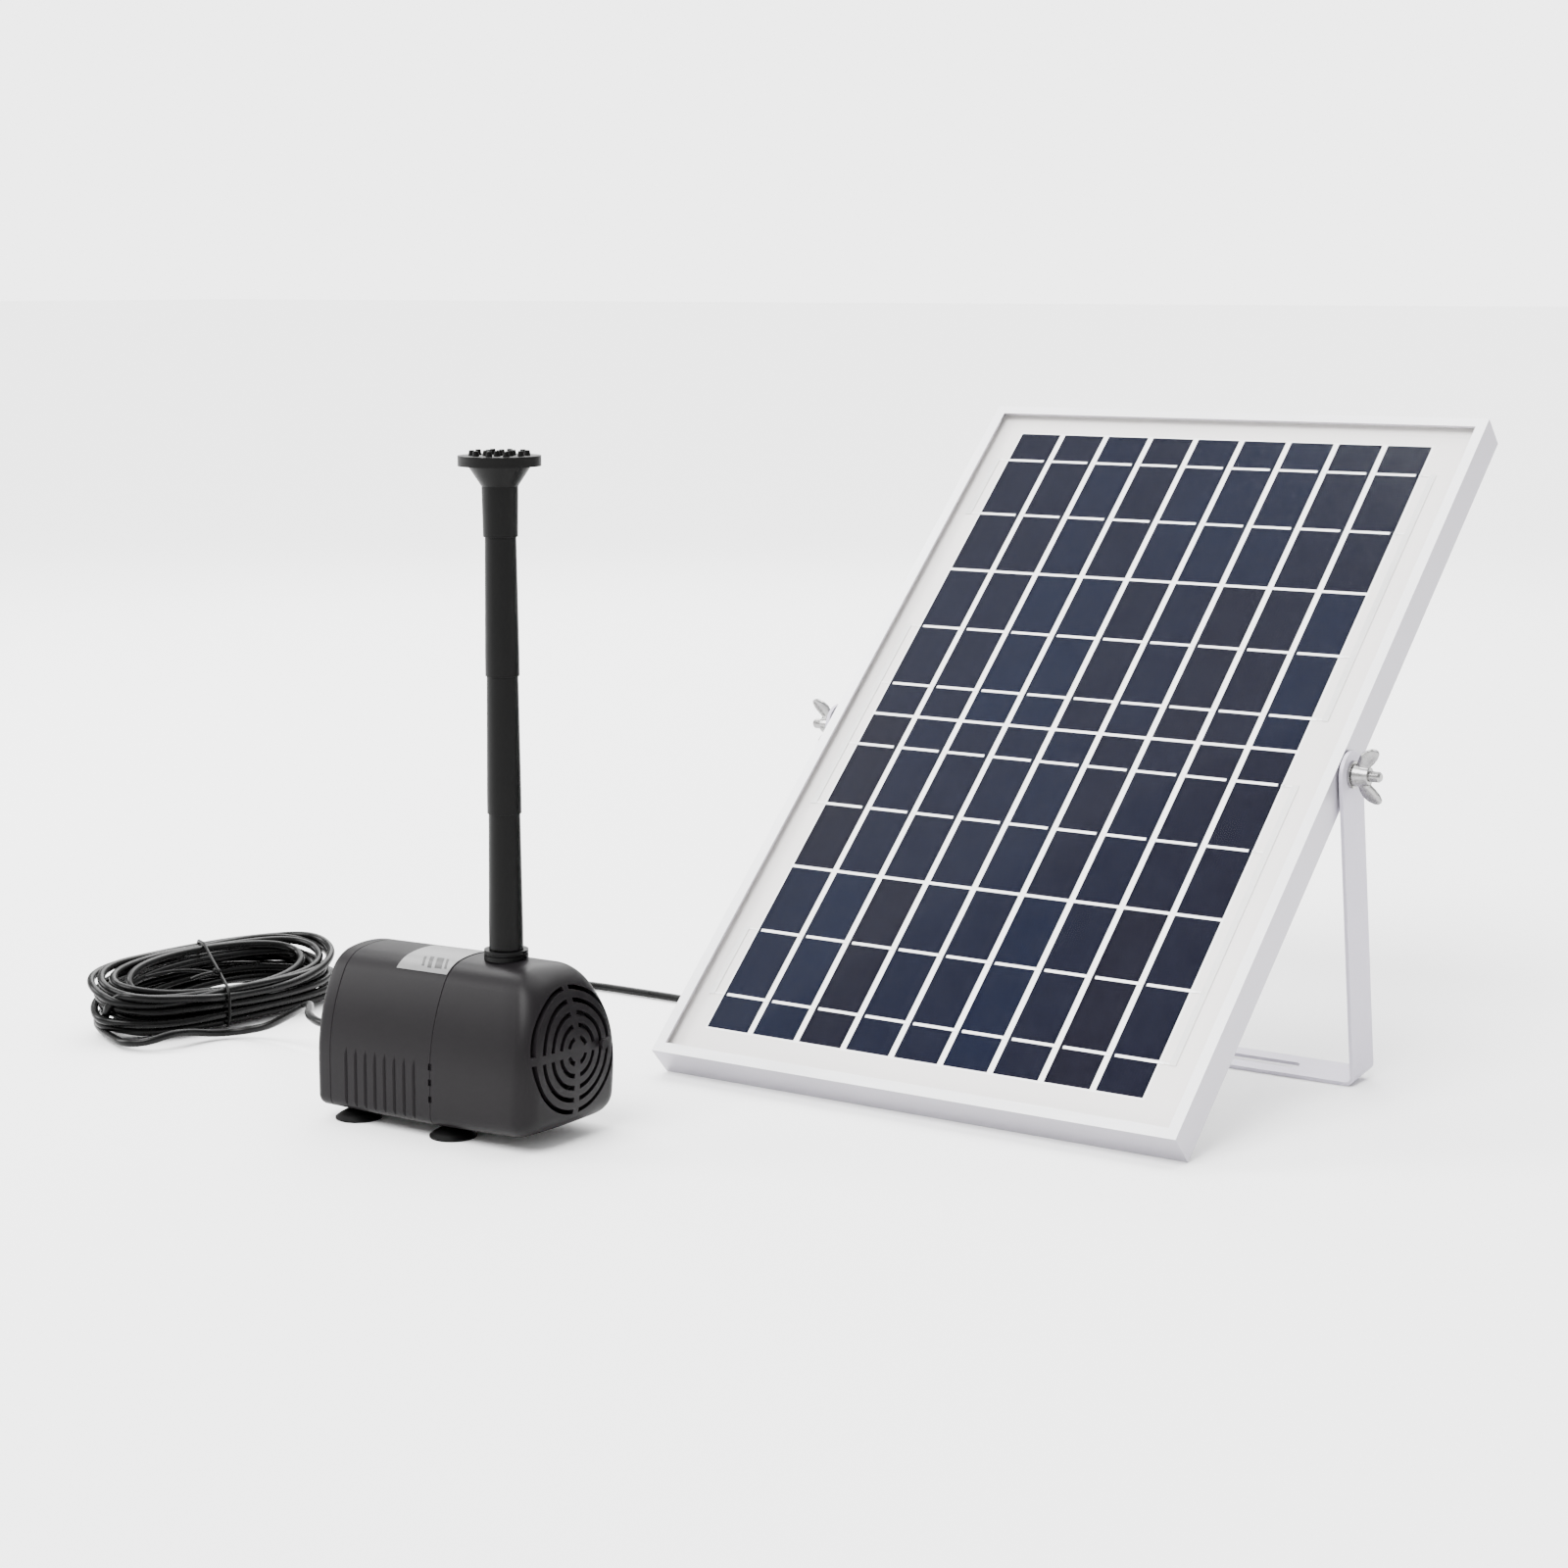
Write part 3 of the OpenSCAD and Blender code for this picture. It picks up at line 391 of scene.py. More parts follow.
def connector_material():
    shader = Shader("covered_connector")
    blotch = shader.noise(350, 3)
    shader.set(
        Base_Color=shader.mix(blotch, grey(0.60, (1, 1, 0.98)), grey(0.72, (1, 0.99, 0.98))),
        Metallic=0.1,
        Roughness=0.5,
        Normal=shader.bump(blotch, 0.00003, 0.6),
    )
    return shader.material


def paint_material():
    shader = Shader("stand_paint")
    peel = shader.noise(900, 2)
    cloud = shader.noise(24, 3)
    worn = shader.math("MULTIPLY", shader.edge_wear(0.0006), shader.span(shader.noise(160, 4), 0.45, 0.6))
    base = shader.mix(cloud, (0.42, 0.395, 0.47, 1), (0.47, 0.445, 0.52, 1))
    shader.set(
        Base_Color=shader.mix(worn, base, (0.60, 0.58, 0.65, 1)),
        Metallic=0.25,
        Roughness=shader.span(peel, 0.3, 0.7, 0.36, 0.5),
        Normal=shader.bump(peel, 0.00004, 0.35),
    )
    return shader.material


def zinc_material():
    shader = Shader("zinc_plate")
    spangle = shader.noise(700, 4)
    tarnish = shader.noise(130, 4)
    shader.set(
        Base_Color=shader.mix(tarnish, (0.16, 0.16, 0.17, 1), (0.38, 0.375, 0.36, 1)),
        Metallic=1.0,
        Roughness=shader.span(spangle, 0.3, 0.7, 0.18, 0.36),
        Normal=shader.bump(spangle, 0.00004, 0.6),
    )
    return shader.material


def moulded_material(name, dark, light, rough, texture_scale=2600, depth=0.00004, wear=0.35, gloss=0.3):
    """Moulded plastic: spark-eroded texture, faint flow marks and paler edges."""
    shader = Shader(name)
    texture = shader.noise(texture_scale, 3)
    flow = shader.noise(20, 4)
    specks = shader.span(shader.noise(420, 2), 0.68, 0.8)
    base = shader.mix(flow, dark, light)
    paler = tuple(min(1, 1.9 * c) for c in light[:3]) + (1,)
    base = shader.mix(shader.math("MULTIPLY", shader.edge_wear(), wear), base, paler)
    base = shader.mix(shader.math("MULTIPLY", specks, 0.12), base, paler)
    shader.set(
        Base_Color=base,
        Specular_IOR_Level=gloss,
        Roughness=shader.span(flow, 0.3, 0.7, rough - 0.05, rough + 0.07),
        Normal=shader.bump(texture, depth, 0.5),
    )
    return shader.material


def rubber_material():
    return moulded_material("soft_rubber", grey(0.0012), grey(0.002), 0.5, 1600, 0.00003, 0.2, 0.1)


def cord_material():
    shader = Shader("cord_pvc")
    drag = shader.noise(260, 3)
    dust = shader.span(shader.noise(900, 3), 0.55, 0.8)
    base = shader.mix(drag, grey(0.0012), grey(0.002))
    shader.set(
        Base_Color=shader.mix(shader.math("MULTIPLY", dust, 0.1), base, grey(0.008)),
        Roughness=shader.span(drag, 0.3, 0.7, 0.24, 0.34),
        Specular_IOR_Level=0.12,
        Normal=shader.bump(drag, 0.00006, 0.4),
    )
    return shader.material


# Centre across the label and half sizes of its dashes, as shares of the label
LABEL_DASHES = ((0.40, 0.025, 0.12), (0.53, 0.04, 0.14), (0.70, 0.07, 0.13), (0.84, 0.025, 0.12))
DASH_Y = 0.20


def label_material():
    """Blank label with four plain dark dashes that lean a little."""
    shader = Shader("label_vinyl")
    low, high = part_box("rating_label")
    parts = shader.add("SeparateXYZ", {0: shader.place()})
    x = shader.span(parts.outputs[0], low.x, high.x)
    y = shader.span(parts.outputs[1], low.y, high.y)
    mark = None
    slant = shader.math("MULTIPLY", shader.math("SUBTRACT", y, DASH_Y), 0.5)
    leaning = shader.math("ADD", x, slant)
    for at_x, half_x, half_y in LABEL_DASHES:
        one = shader.math("MULTIPLY", shader.near(leaning, at_x, half_x), shader.near(y, DASH_Y, half_y))
        mark = one if mark is None else shader.math("MAXIMUM", mark, one)
    paper = shader.mix(shader.noise(300, 3), grey(0.12), grey(0.15))
    shader.set(
        Base_Color=shader.mix(mark, paper, grey(0.004)),
        Roughness=0.38,
        Normal=shader.bump(shader.noise(260, 3), 0.00006, 0.5),
    )
    return shader.material


def foam_material():
    shader = Shader("open_foam")
    cells = shader.add("TexVoronoi", {"Vector": shader.place(), "Scale": 900.0}).outputs["Distance"]
    shader.set(Base_Color=shader.mix(cells, grey(0.01), grey(0.03)), Roughness=0.9,
               Normal=shader.bump(cells, 0.0004, 1.0))
    return shader.material


def plain_material(name, dark, light, rough, metallic=0.0, scale=300):
    """Inner pieces: a mottled tone with a fine surface."""
    shader = Shader(name)
    tone = shader.noise(scale, 4)
    shader.set(Base_Color=shader.mix(tone, dark, light), Metallic=metallic,
               Roughness=shader.span(tone, 0.3, 0.7, rough - 0.05, rough + 0.05),
               Normal=shader.bump(tone, 0.00003, 0.5))
    return shader.material


# ---- Mesh helpers ----

def new_object(name, points, faces, material):
    mesh = bpy.data.meshes.new(name)
    mesh.from_pydata([tuple(p) for p in points], [], faces)
    mesh.validate()
    obj = bpy.data.objects.new(name, mesh)
    bpy.context.scene.collection.objects.link(obj)
    mesh.materials.append(material)
    return obj


def smooth(obj, angle=35):
    for face in obj.data.polygons:
        face.use_smooth = True
    obj.data.set_sharp_from_angle(angle=math.radians(angle))


def outward(obj):
    mesh = bmesh.new()
    mesh.from_mesh(obj.data)
    bmesh.ops.recalc_face_normals(mesh, faces=mesh.faces)
    mesh.to_mesh(obj.data)
    mesh.free()


def applied(obj):
    """The object with its modifiers made real."""
    bpy.context.view_layer.update()
    shown = obj.evaluated_get(bpy.context.evaluated_depsgraph_get())
    mesh = bpy.data.meshes.new_from_object(shown)
    obj.modifiers.clear()
    obj.data = mesh
    return obj


def cut(obj, tool):
    """Takes the tool's solid away from the object and deletes the tool."""
    outward(tool)
    modifier = obj.modifiers.new("cut", "BOOLEAN")
    modifier.operation = "DIFFERENCE"
    modifier.solver = "EXACT"
    modifier.object = tool
    applied(obj)
    bpy.data.objects.remove(tool)
    return obj


def loft(name, rings, material, close_start=False, close_end=False):
    """Joins closed rings of equal length, with a flat cap where asked."""
    count = len(rings[0])
    points = [p for ring in rings for p in ring]
    faces = []
    for i in range(len(rings) - 1):
        for k in range(count):
            a, b = i * count + k, i * count + (k + 1) % count
            faces.append((a, b, b + count, a + count))
    if close_start:
        faces.append(tuple(range(count)))
    if close_end:
        faces.append(tuple((len(rings) - 1) * count + k for k in range(count))[::-1])
    return new_object(name, points, faces, material)


def keep(piece, body, slot, *nodes):
    """Puts a piece on its body and hides the CAD nodes that it stands for; the slot argument is not used."""
    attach(piece, body)
    if nodes:
        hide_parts(*nodes)
    return piece


# ---- Pump shells ----

CROWN_R, CROWN_A = 45 * MM, 11
SHOULDER_R, SHOULDER_A = 14 * MM, 60
SILL_R = 4 * MM
CROWN_RISE = 0.8 * MM
WALL = 2 * MM


def arc(centre, radius, start, stop, steps):
    turn = np.radians(np.linspace(start, stop, steps))
    return np.stack([centre[0] + radius * np.sin(turn), centre[1] + radius * np.cos(turn)], axis=1)


def away(angle):
    return np.array([math.sin(math.radians(angle)), math.cos(math.radians(angle))])


def body_outline(inset=0.0, sill=SILL_R):
    """The pump's section as (y, z) points from the crown round one side and back, moved inward."""
    reach = (CROWN_R - SHOULDER_R) * away(CROWN_A)[0]
    slope = away(SHOULDER_A)[0]
    flank_r = (pump_half - reach - SHOULDER_R * slope) / (1 - slope)
    crown = np.array([0, pump_crown - CROWN_R])
    shoulder = crown + (CROWN_R - SHOULDER_R) * away(CROWN_A)
    flank = shoulder + (SHOULDER_R - flank_r) * away(SHOULDER_A)
    foot = np.array([pump_half - sill, pump_floor + sill])
    side = np.concatenate([
        arc(crown, CROWN_R - inset, 0, CROWN_A, 6)[:-1],
        arc(shoulder, SHOULDER_R - inset, CROWN_A, SHOULDER_A, 16)[:-1],
        arc(flank, flank_r - inset, SHOULDER_A, 90, 10),
        np.linspace((pump_half - inset, flank[1]), (pump_half - inset, foot[1]), 8)[1:-1],
        arc(foot, max(sill - inset, 0.2 * MM), 90, 180, 8),
        np.linspace((foot[0], pump_floor + inset), (0, pump_floor + inset), 10)[1:],
    ])
    other = side[-2:0:-1] * np.array([-1, 1])
    return np.concatenate([side, other])


def pump_ring(x, outline):
    """An outline placed across the pump; its crown rises a little from the rear to the riser."""
    rise = CROWN_RISE * min(1, 2 * x / (riser_x - pump_rear) - 1)
    high = [max(0, (z - grille_z) / (pump_crown - grille_z)) ** 2 for y, z in outline]
    return [(pump_rear + x, pump_middle + y, z + rise * share) for (y, z), share in zip(outline, high)]


def bar_rings(x_start, x_stop, step=6 * MM, lip=0.25 * MM):
    """Rings of the straight body between two seams, with a small round at each seam."""
    places = np.linspace(x_start + lip, x_stop - lip, max(2, round((x_stop - x_start) / step)))
    return ([pump_ring(x_start, body_outline(lip))]
            + [pump_ring(x, body_outline()) for x in places]
            + [pump_ring(x_stop, body_outline(lip))])


def groove_cutters():
    """Upright V grooves low on both sides of the housing, closing to a point at the top."""
    first, pitch, count = 15 * MM, 4.6 * MM, 8
    wide, deep, top = 1.3 * MM, 0.75 * MM, 29 * MM
    points, faces = [], []
    for i in range(count):
        for side in (-1, 1):
            x = pump_rear + first + pitch * i
            face_y = pump_middle + side * (pump_half + 0.5 * MM)
            reach = side * (deep + 0.5 * MM)
            base = len(points)
            for z, share in ((pump_floor - 2 * MM, 1), (top - 3 * MM, 1), (top, 0.3)):
                points += [(x - wide * share, face_y, z), (x + wide * share, face_y, z),
                           (x, face_y - reach * (1 if share == 1 else 0.6), z)]
            for k in (0, 3):
                for a, b in ((0, 1), (1, 2), (2, 0)):
                    faces.append((base + k + a, base + k + b, base + k + 3 + b, base + k + 3 + a))
            faces += [(base, base + 2, base + 1), (base + 6, base + 7, base + 8)]
    return new_object("groove_cutters", points, faces, materials["pump_plastic"])


def seam_notches():
    """Three short slits low on each side, where the front cover's latches meet the housing."""
    half_wide, half_tall, deep = 0.8 * MM, 1.2 * MM, 0.9 * MM
    corners = [(x, y, z) for x in (-half_wide, half_wide) for y in (-deep, deep)
               for z in (-half_tall, half_tall)]
    sides = [(0, 1, 3, 2), (4, 6, 7, 5), (0, 4, 5, 1), (2, 3, 7, 6), (0, 2, 6, 4), (1, 5, 7, 3)]
    points, faces = [], []
    for side in (-1, 1):
        for rise in (9.9 * MM, 16 * MM, 21.7 * MM):
            base = len(points)
            centre = Vector((pump_rear + seam_front, pump_middle + side * pump_half, pump_floor + rise))
            points += [centre + Vector(corner) for corner in corners]
            faces += [tuple(base + k for k in face) for face in sides]
    return new_object("seam_notches", points, faces, materials["pump_plastic"])


def make_housing():
    shell = loft("housing_shell", bar_rings(seam_rear, seam_front), materials["pump_plastic"], True, True)
    outward(shell)
    cut(shell, groove_cutters())
    cut(shell, seam_notches())
    smooth(shell, 28)
    keep(shell, ROOT, "pump_plastic", "motor_housing")


def make_rear_cap():
    round_r = 3.2 * MM
    rings = []
    for angle in np.linspace(0, 90, 9):
        turn = math.radians(angle)
        rings.append(pump_ring(round_r * (1 - math.sin(turn)), body_outline(round_r * (1 - math.cos(turn)))))
    rings = rings[::-1]
    rings += [pump_ring(seam_rear - 0.25 * MM, body_outline()), pump_ring(seam_rear, body_outline(0.25 * MM))]
    cap = loft("rear_cap_shell", rings, materials["pump_plastic"], True, True)
    outward(cap)
    smooth(cap, 40)
    keep(cap, ROOT, "pump_plastic", "rear_cap")


def make_label():
    """A thin sticker that follows the housing's crown."""
    low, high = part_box("rating_label")
    outline = body_outline(-0.15 * MM)
    near, far = low.y - pump_middle, high.y - pump_middle
    spare = 3 * MM
    beside = (outline[:, 0] > near - spare) & (outline[:, 0] < far + spare)
    top = outline[(outline[:, 1] > grille_z) & beside]
    top = top[np.argsort(top[:, 0])]
    across = np.linspace(near, far, 22)
    strip = [(y, float(np.interp(y, top[:, 0], top[:, 1]))) for y in across]
    places = np.linspace(low.x, seam_front + pump_rear - 0.5 * MM, 12) - pump_rear
    points = [p for x in places for p in pump_ring(x, strip)]
    count = len(strip)
    faces = [(i * count + k, i * count + k + 1, (i + 1) * count + k + 1, (i + 1) * count + k)
             for i in range(len(places) - 1) for k in range(count - 1)]
    label = new_object("label_sticker", points, faces, materials["label_paper"])
    solid = label.modifiers.new("thickness", "SOLIDIFY")
    solid.thickness = 0.12 * MM
    solid.offset = 0
    applied(label)
    smooth(label, 40)
    keep(label, ROOT, "label_paper", "rating_label")


LEAN_R = 50 * MM
LEAN_FROM = 35 * MM
BULGE_R = 210 * MM
ROUND_R = 7 * MM
NOSE_SILL = 8 * MM
CHIN = 1.6 * MM


def to_outline(points, outline):
    """Distance from each point to the closed outline."""
    best = np.full(len(points), 1.0)
    for start, stop in zip(outline, np.roll(outline, -1, axis=0)):
        along = stop - start
        share = np.clip(((points - start) @ along) / max(along @ along, 1e-12), 0, 1)
        best = np.minimum(best, np.linalg.norm(points - start - share[:, None] * along, axis=1))
    return best


def nose_depth(points, outline):
    """How far the nose stands behind its foremost point: a slight dome, a leaning brow and round edges."""
    radius2 = points[:, 0] ** 2 + (points[:, 1] - grille_z) ** 2
    rise = np.clip(points[:, 1] - LEAN_FROM, 0, LEAN_R * 0.99)
    lean = LEAN_R - np.sqrt(LEAN_R ** 2 - rise ** 2)
    low = np.clip(1 - (points[:, 1] - pump_floor) / (9 * MM), 0, 1)
    near = np.clip(ROUND_R - to_outline(points, outline), 0, ROUND_R)
    return radius2 / (2 * BULGE_R) + lean + CHIN * low ** 2 + ROUND_R - np.sqrt(ROUND_R ** 2 - near ** 2)


def make_front_cover():
    outline = body_outline(0, NOSE_SILL)
    centre = np.array([0, grille_z])
    rings = []
    shares = np.concatenate([np.linspace(0.08, 0.6, 8), np.linspace(0.64, 0.96, 14),
                             [0.972, 0.982, 0.99, 0.995, 1.0]])
    for share in shares:
        points = centre + (outline - centre) * share
        depth = nose_depth(points, outline)
        placed = np.array(pump_ring(riser_x - pump_rear, points))
        placed[:, 0] = pump_rear + pump_nose - depth
        rings.append([tuple(p) for p in placed])
    front = np.array(rings[-1])
    seam = np.array(pump_ring(seam_front + 0.25 * MM, body_outline()))
    for share in (0.2, 0.4, 0.6, 0.8, 1.0):
        rings.append([tuple(p) for p in front + (seam - front) * share])
    rings.append(pump_ring(seam_front, body_outline(0.25 * MM)))
    cover = loft("cover_shell", rings, materials["pump_plastic"], True, False)
    outward(cover)
    solid = cover.modifiers.new("wall", "SOLIDIFY")
    solid.thickness = WALL
    solid.offset = -1
    applied(cover)
    cut(cover, grille_cutters())
    cut(cover, seam_notches())
    smooth(cover, 30)
    keep(cover, ROOT, "pump_plastic", "front_cover")


SLOT_RADII = [21.9 - 4.3 * i for i in range(5)]
# The ring slot in which the shutter's peg runs
PEG_RING = 2


def grille_cutters():
    """Ring slots between four spokes; the adjuster's ring runs on past the spoke on its side."""
    wide = 1.7 * MM
    spoke = 3 * MM
    # From behind the cover's wall to in front of the nose
    cut_span = (pump_rear + 82 * MM, pump_rear + 104 * MM)
    points, faces = [], []
    for ring, radius in enumerate(SLOT_RADII):
        radius *= MM
        gap = math.degrees(math.asin(spoke / 2 / radius))
        spans = [(90 * q + gap, 90 * q + 90 - gap) for q in range(4)]
        if ring == PEG_RING:
            spans = [(gap - 90, 90 - gap), spans[1], spans[2]]
        for start, stop in spans:
            steps = max(6, round((stop - start) / 5))
            base = len(points)
            for angle in np.linspace(start, stop, steps + 1):
                turn = math.radians(angle)
                for r in (radius - wide / 2, radius + wide / 2):
                    for x in cut_span:
                        points.append((x, pump_middle + r * math.cos(turn), grille_z + r * math.sin(turn)))
            for k in range(steps):
                a, b = base + 4 * k, base + 4 * k + 4
                for p, q in ((0, 1), (1, 3), (3, 2), (2, 0)):
                    faces.append((a + p, a + q, b + q, b + p))
            end = base + 4 * steps
            faces += [(base, base + 2, base + 3, base + 1), (end, end + 1, end + 3, end + 2)]
    return new_object("grille_cutters", points, faces, materials["pump_plastic"])


# ---- Wing nuts ----

# Sections of a leaf from the hub outward, in millimetres: reach, rise along the bolt, width, thickness
LEAF_SECTIONS = ((2.0, 2.6, 2.6, 1.5), (4.4, 3.6, 3.0, 1.15), (6.6, 5.2, 3.6, 0.95),
                 (8.4, 7.0, 3.3, 0.9), (9.8, 8.6, 2.2, 0.8), (10.4, 9.3, 0.9, 0.5))
LEAF_SIDES = 16
HUB_L = 6 * MM
BOLT_BORE_R = 2.05 * MM
# How far the leaves are turned from upright, in degrees
LEAF_TURN = 11.3


def add_leaf(mesh, turn):
    """One leaf of a wing nut, turned about the bolt."""
    rings = []
    for reach, rise, wide, tall in LEAF_SECTIONS:
        ring = []
        for k in range(LEAF_SIDES):
            angle = 2 * math.pi * k / LEAF_SIDES
            ring.append(mesh.verts.new((
                (reach + wide * 0.45 * math.cos(angle)) * MM,
                tall * math.sin(angle) * MM,
                (rise - wide * 0.75 * math.cos(angle)) * MM)))
        rings.append(ring)
    for a, b in zip(rings, rings[1:]):
        for k in range(LEAF_SIDES):
            ahead = (k + 1) % LEAF_SIDES
            mesh.faces.new((a[k], a[ahead], b[ahead], b[k]))
    mesh.faces.new(rings[0])
    mesh.faces.new(rings[-1][::-1])
    bmesh.ops.rotate(mesh, verts=[v for ring in rings for v in ring],
                     matrix=Matrix.Rotation(turn, 3, "Z"))


def make_wing_nut(side):
    """A hub and two leaves that lean outward, blended by a fine voxel remesh."""
    body = f"wing_nut_{side}_body"
    node = f"wing_nut_{side}"
    low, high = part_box(node)
    sign = 1 if side == "right" else -1
    foot_x = low.x if sign > 0 else high.x
    mesh = bmesh.new()
    hub = bmesh.ops.create_cone(mesh, cap_ends=True, segments=40, radius1=4.3 * MM, radius2=3.3 * MM,
                                depth=HUB_L)["verts"]
    bmesh.ops.translate(mesh, verts=hub, vec=(0, 0, HUB_L / 2))
    for turn in (0, math.pi):
        add_leaf(mesh, turn)
    bmesh.ops.recalc_face_normals(mesh, faces=mesh.faces)
    data = bpy.data.meshes.new(f"wing_nut_{side}_cast")
    mesh.to_mesh(data)
    mesh.free()
    nut = bpy.data.objects.new(f"wing_nut_{side}_cast", data)
    bpy.context.scene.collection.objects.link(nut)
    data.materials.append(materials["zinc_steel"])
    remesh = nut.modifiers.new("remesh", "REMESH")
    remesh.mode = "VOXEL"
    remesh.voxel_size = 0.22 * MM
    relax = nut.modifiers.new("relax", "SMOOTH")
    relax.factor = 0.5
    relax.iterations = 6
    applied(nut)
    upright = Matrix.Rotation(math.radians(LEAF_TURN), 4, "X")
    # Local Z runs out along the bolt, and local X up the leaves
    outward_turn = Matrix(((0, 0, sign, 0), (0, sign, 0, 0), (1, 0, 0, 0), (0, 0, 0, 1)))
    nut.data.transform(Matrix.Translation((foot_x, pivot.y, pivot.z)) @ upright @ outward_turn)
    cut(nut, bore_cutter(foot_x, sign, BOLT_BORE_R))
    outward(nut)
    smooth(nut, 40)
    keep(nut, body, "zinc_steel", node)


def bore_cutter(foot_x, sign, radius):
    ring = [(math.cos(t) * radius, math.sin(t) * radius) for t in np.linspace(0, 2 * math.pi, 40, False)]
    rings = [[(foot_x + sign * x, pivot.y + y, pivot.z + z) for y, z in ring] for x in (-2 * MM, 14 * MM)]
    return loft("bore_cutter", rings, materials["zinc_steel"], True, True)


# ---- Ribbons ----

# Rows, counted from the bottom, whose ribbons run on across the gaps between cells
CROSSING_ROWS = (0, 2)
RIBBON_HALF = 0.62 * MM
TAIL_L = 4.5 * MM
TAIL_SINK = -0.08 * MM


def make_ribbons():
    """Two raised strips on each row: they cross the gaps, or stop short and leave a small strip there."""
    node = frame["nodes"]["busbar_ribbons"]
    inverse = panel_frame.inverted()
    local = np.array([tuple(inverse @ v.co) for v in node.data.vertices])
    levels = sorted({round(float(y), 4) for y in local[:, 1]})
    lines = [(levels[i] + levels[i + 1]) / 2 for i in range(0, len(levels), 2)]
    face_z = float(local[:, 2].max())
    half_w = RIBBON_HALF
    start_x = grid_low[0]
    points, faces = [], []
    gap = cell_pitch - CELL_W
    for index, line in enumerate(lines):
        crosses = index // 2 in CROSSING_ROWS
        for column in range(COLUMNS):
            x0 = start_x + column * cell_pitch
            x1 = x0 + CELL_W
            if crosses:
                add_strip(points, faces, x0 + 1.3 * MM, x1 + gap * 0.9, line, half_w, face_z, 0.0)
            else:
                add_strip(points, faces, x0 + 0.1 * MM, x1 - 1.5 * MM, line, half_w, face_z, 0.0)
                add_strip(points, faces, x1 + 0.6 * MM, x1 + 1.6 * MM, line, half_w * 0.75, face_z,
                          TAIL_SINK)
        for x0, x1 in ((start_x - TAIL_L, start_x + 0.1 * MM), (grid_high[0], grid_high[0] + TAIL_L)):
            add_strip(points, faces, x0, x1, line, half_w * 0.6, face_z, TAIL_SINK)
    ribbons = new_object("ribbon_strips", [panel_frame @ Vector(p) for p in points], faces,
                         materials["ribbon"])
    outward(ribbons)
    smooth(ribbons, 50)
    keep(ribbons, ROOT, "ribbon", "busbar_ribbons")


def add_strip(points, faces, x0, x1, y, half, top, sink):
    """A thin strip with chamfered long sides and ends."""
    low, high = top - 0.09 * MM, top - 0.01 * MM + sink * 0.5
    trim = 0.12 * MM
    base = len(points)
    points += [(x0, y - half, low), (x1, y - half, low), (x1, y + half, low), (x0, y + half, low)]
    points += [(x0 + trim, y - half + trim, high), (x1 - trim, y - half + trim, high),
               (x1 - trim, y + half - trim, high), (x0 + trim, y + half - trim, high)]
    faces += [(base, base + 3, base + 2, base + 1), (base + 4, base + 5, base + 6, base + 7)]
    for k in range(4):
        a, b = base + k, base + (k + 1) % 4
        faces.append((a, b, b + 4, a + 4))


# ---- Lead ----

CORD_D = 3.2 * MM
PUMP_ROUTE = [
    (-187.5, -217, 27), (-198, -217, 27), (-210, -210, 27), (-222, -197, 26), (-234, -185, 23),
    (-247, -176, 18), (-260, -171, 12), (-273, -169, 6), (-285, -172, 3), (-291, -180, 3),
    (-293, -190, 5), (-294, -200, 6), (-299, -209, 4), (-309, -212, 3), (-322, -207, 3),
]
PANEL_ROUTE = [
    (-316, -83, 4), (-305, -66, 3), (-288, -50, 1.8), (-270, -36, 1.8), (-248, -26, 1.8),
    (-224, -21, 1.8), (-200, -20, 1.8), (-176, -20, 1.8), (-150, -22, 1.8), (-120, -26, 1.8),
    (-90, -29, 1.8), (-62, -29, 1.8), (-42, -28, 3), (-26, -26, 8), (-14, -24, 20),
    (-7, -22, 38), (-4, -19, 58), (-2, -14, 78), (-1, -8, 96), (0, 0, 110), (0, 8, 119),
]
HANK_MIDDLE = Vector((-321, -145, 0)) * MM
HANK_TURN = math.radians(84)
HANK_NEAR, HANK_FAR = 57 * MM, 51 * MM
HANK_WIDE = 19 * MM
HANK_TOP = 29 * MM
# Each turn's place in the bundle, laid to and fro in four layers of four
HANK_SLOTS = [(column if layer % 2 else 3 - column, layer) for layer in range(4) for column in range(4)]
HANK_STEPS = 64
# Points of the part turn that follows the last whole one
PART_TURN = 24
CORD_STEP = 2.2 * MM


def in_row(route):
    return [np.array(Vector(p) * MM + route_shift) for p in route]


def eased(points, steps):
    """A smooth curve through the points: a cubic between each pair."""
    points = np.array(points)
    padded = np.concatenate([[2 * points[0] - points[1]], points, [2 * points[-1] - points[-2]]])
    line = []
    for a, b, c, d in zip(padded, padded[1:], padded[2:], padded[3:]):
        for t in np.linspace(0, 1, steps, False):
            line.append(0.5 * (2 * b + (c - a) * t + (2 * a - 5 * b + 4 * c - d) * t * t
                               + (3 * b - a - 3 * c + d) * t ** 3))
    line.append(points[-1])
    return np.array(line)


def respaced(line, step):
    along = np.concatenate([[0], np.cumsum(np.linalg.norm(np.diff(line, axis=0), axis=1))])
    at = np.linspace(0, along[-1], max(2, round(along[-1] / step) + 1))
    return np.stack([np.interp(at, along, line[:, k]) for k in range(3)], axis=1)


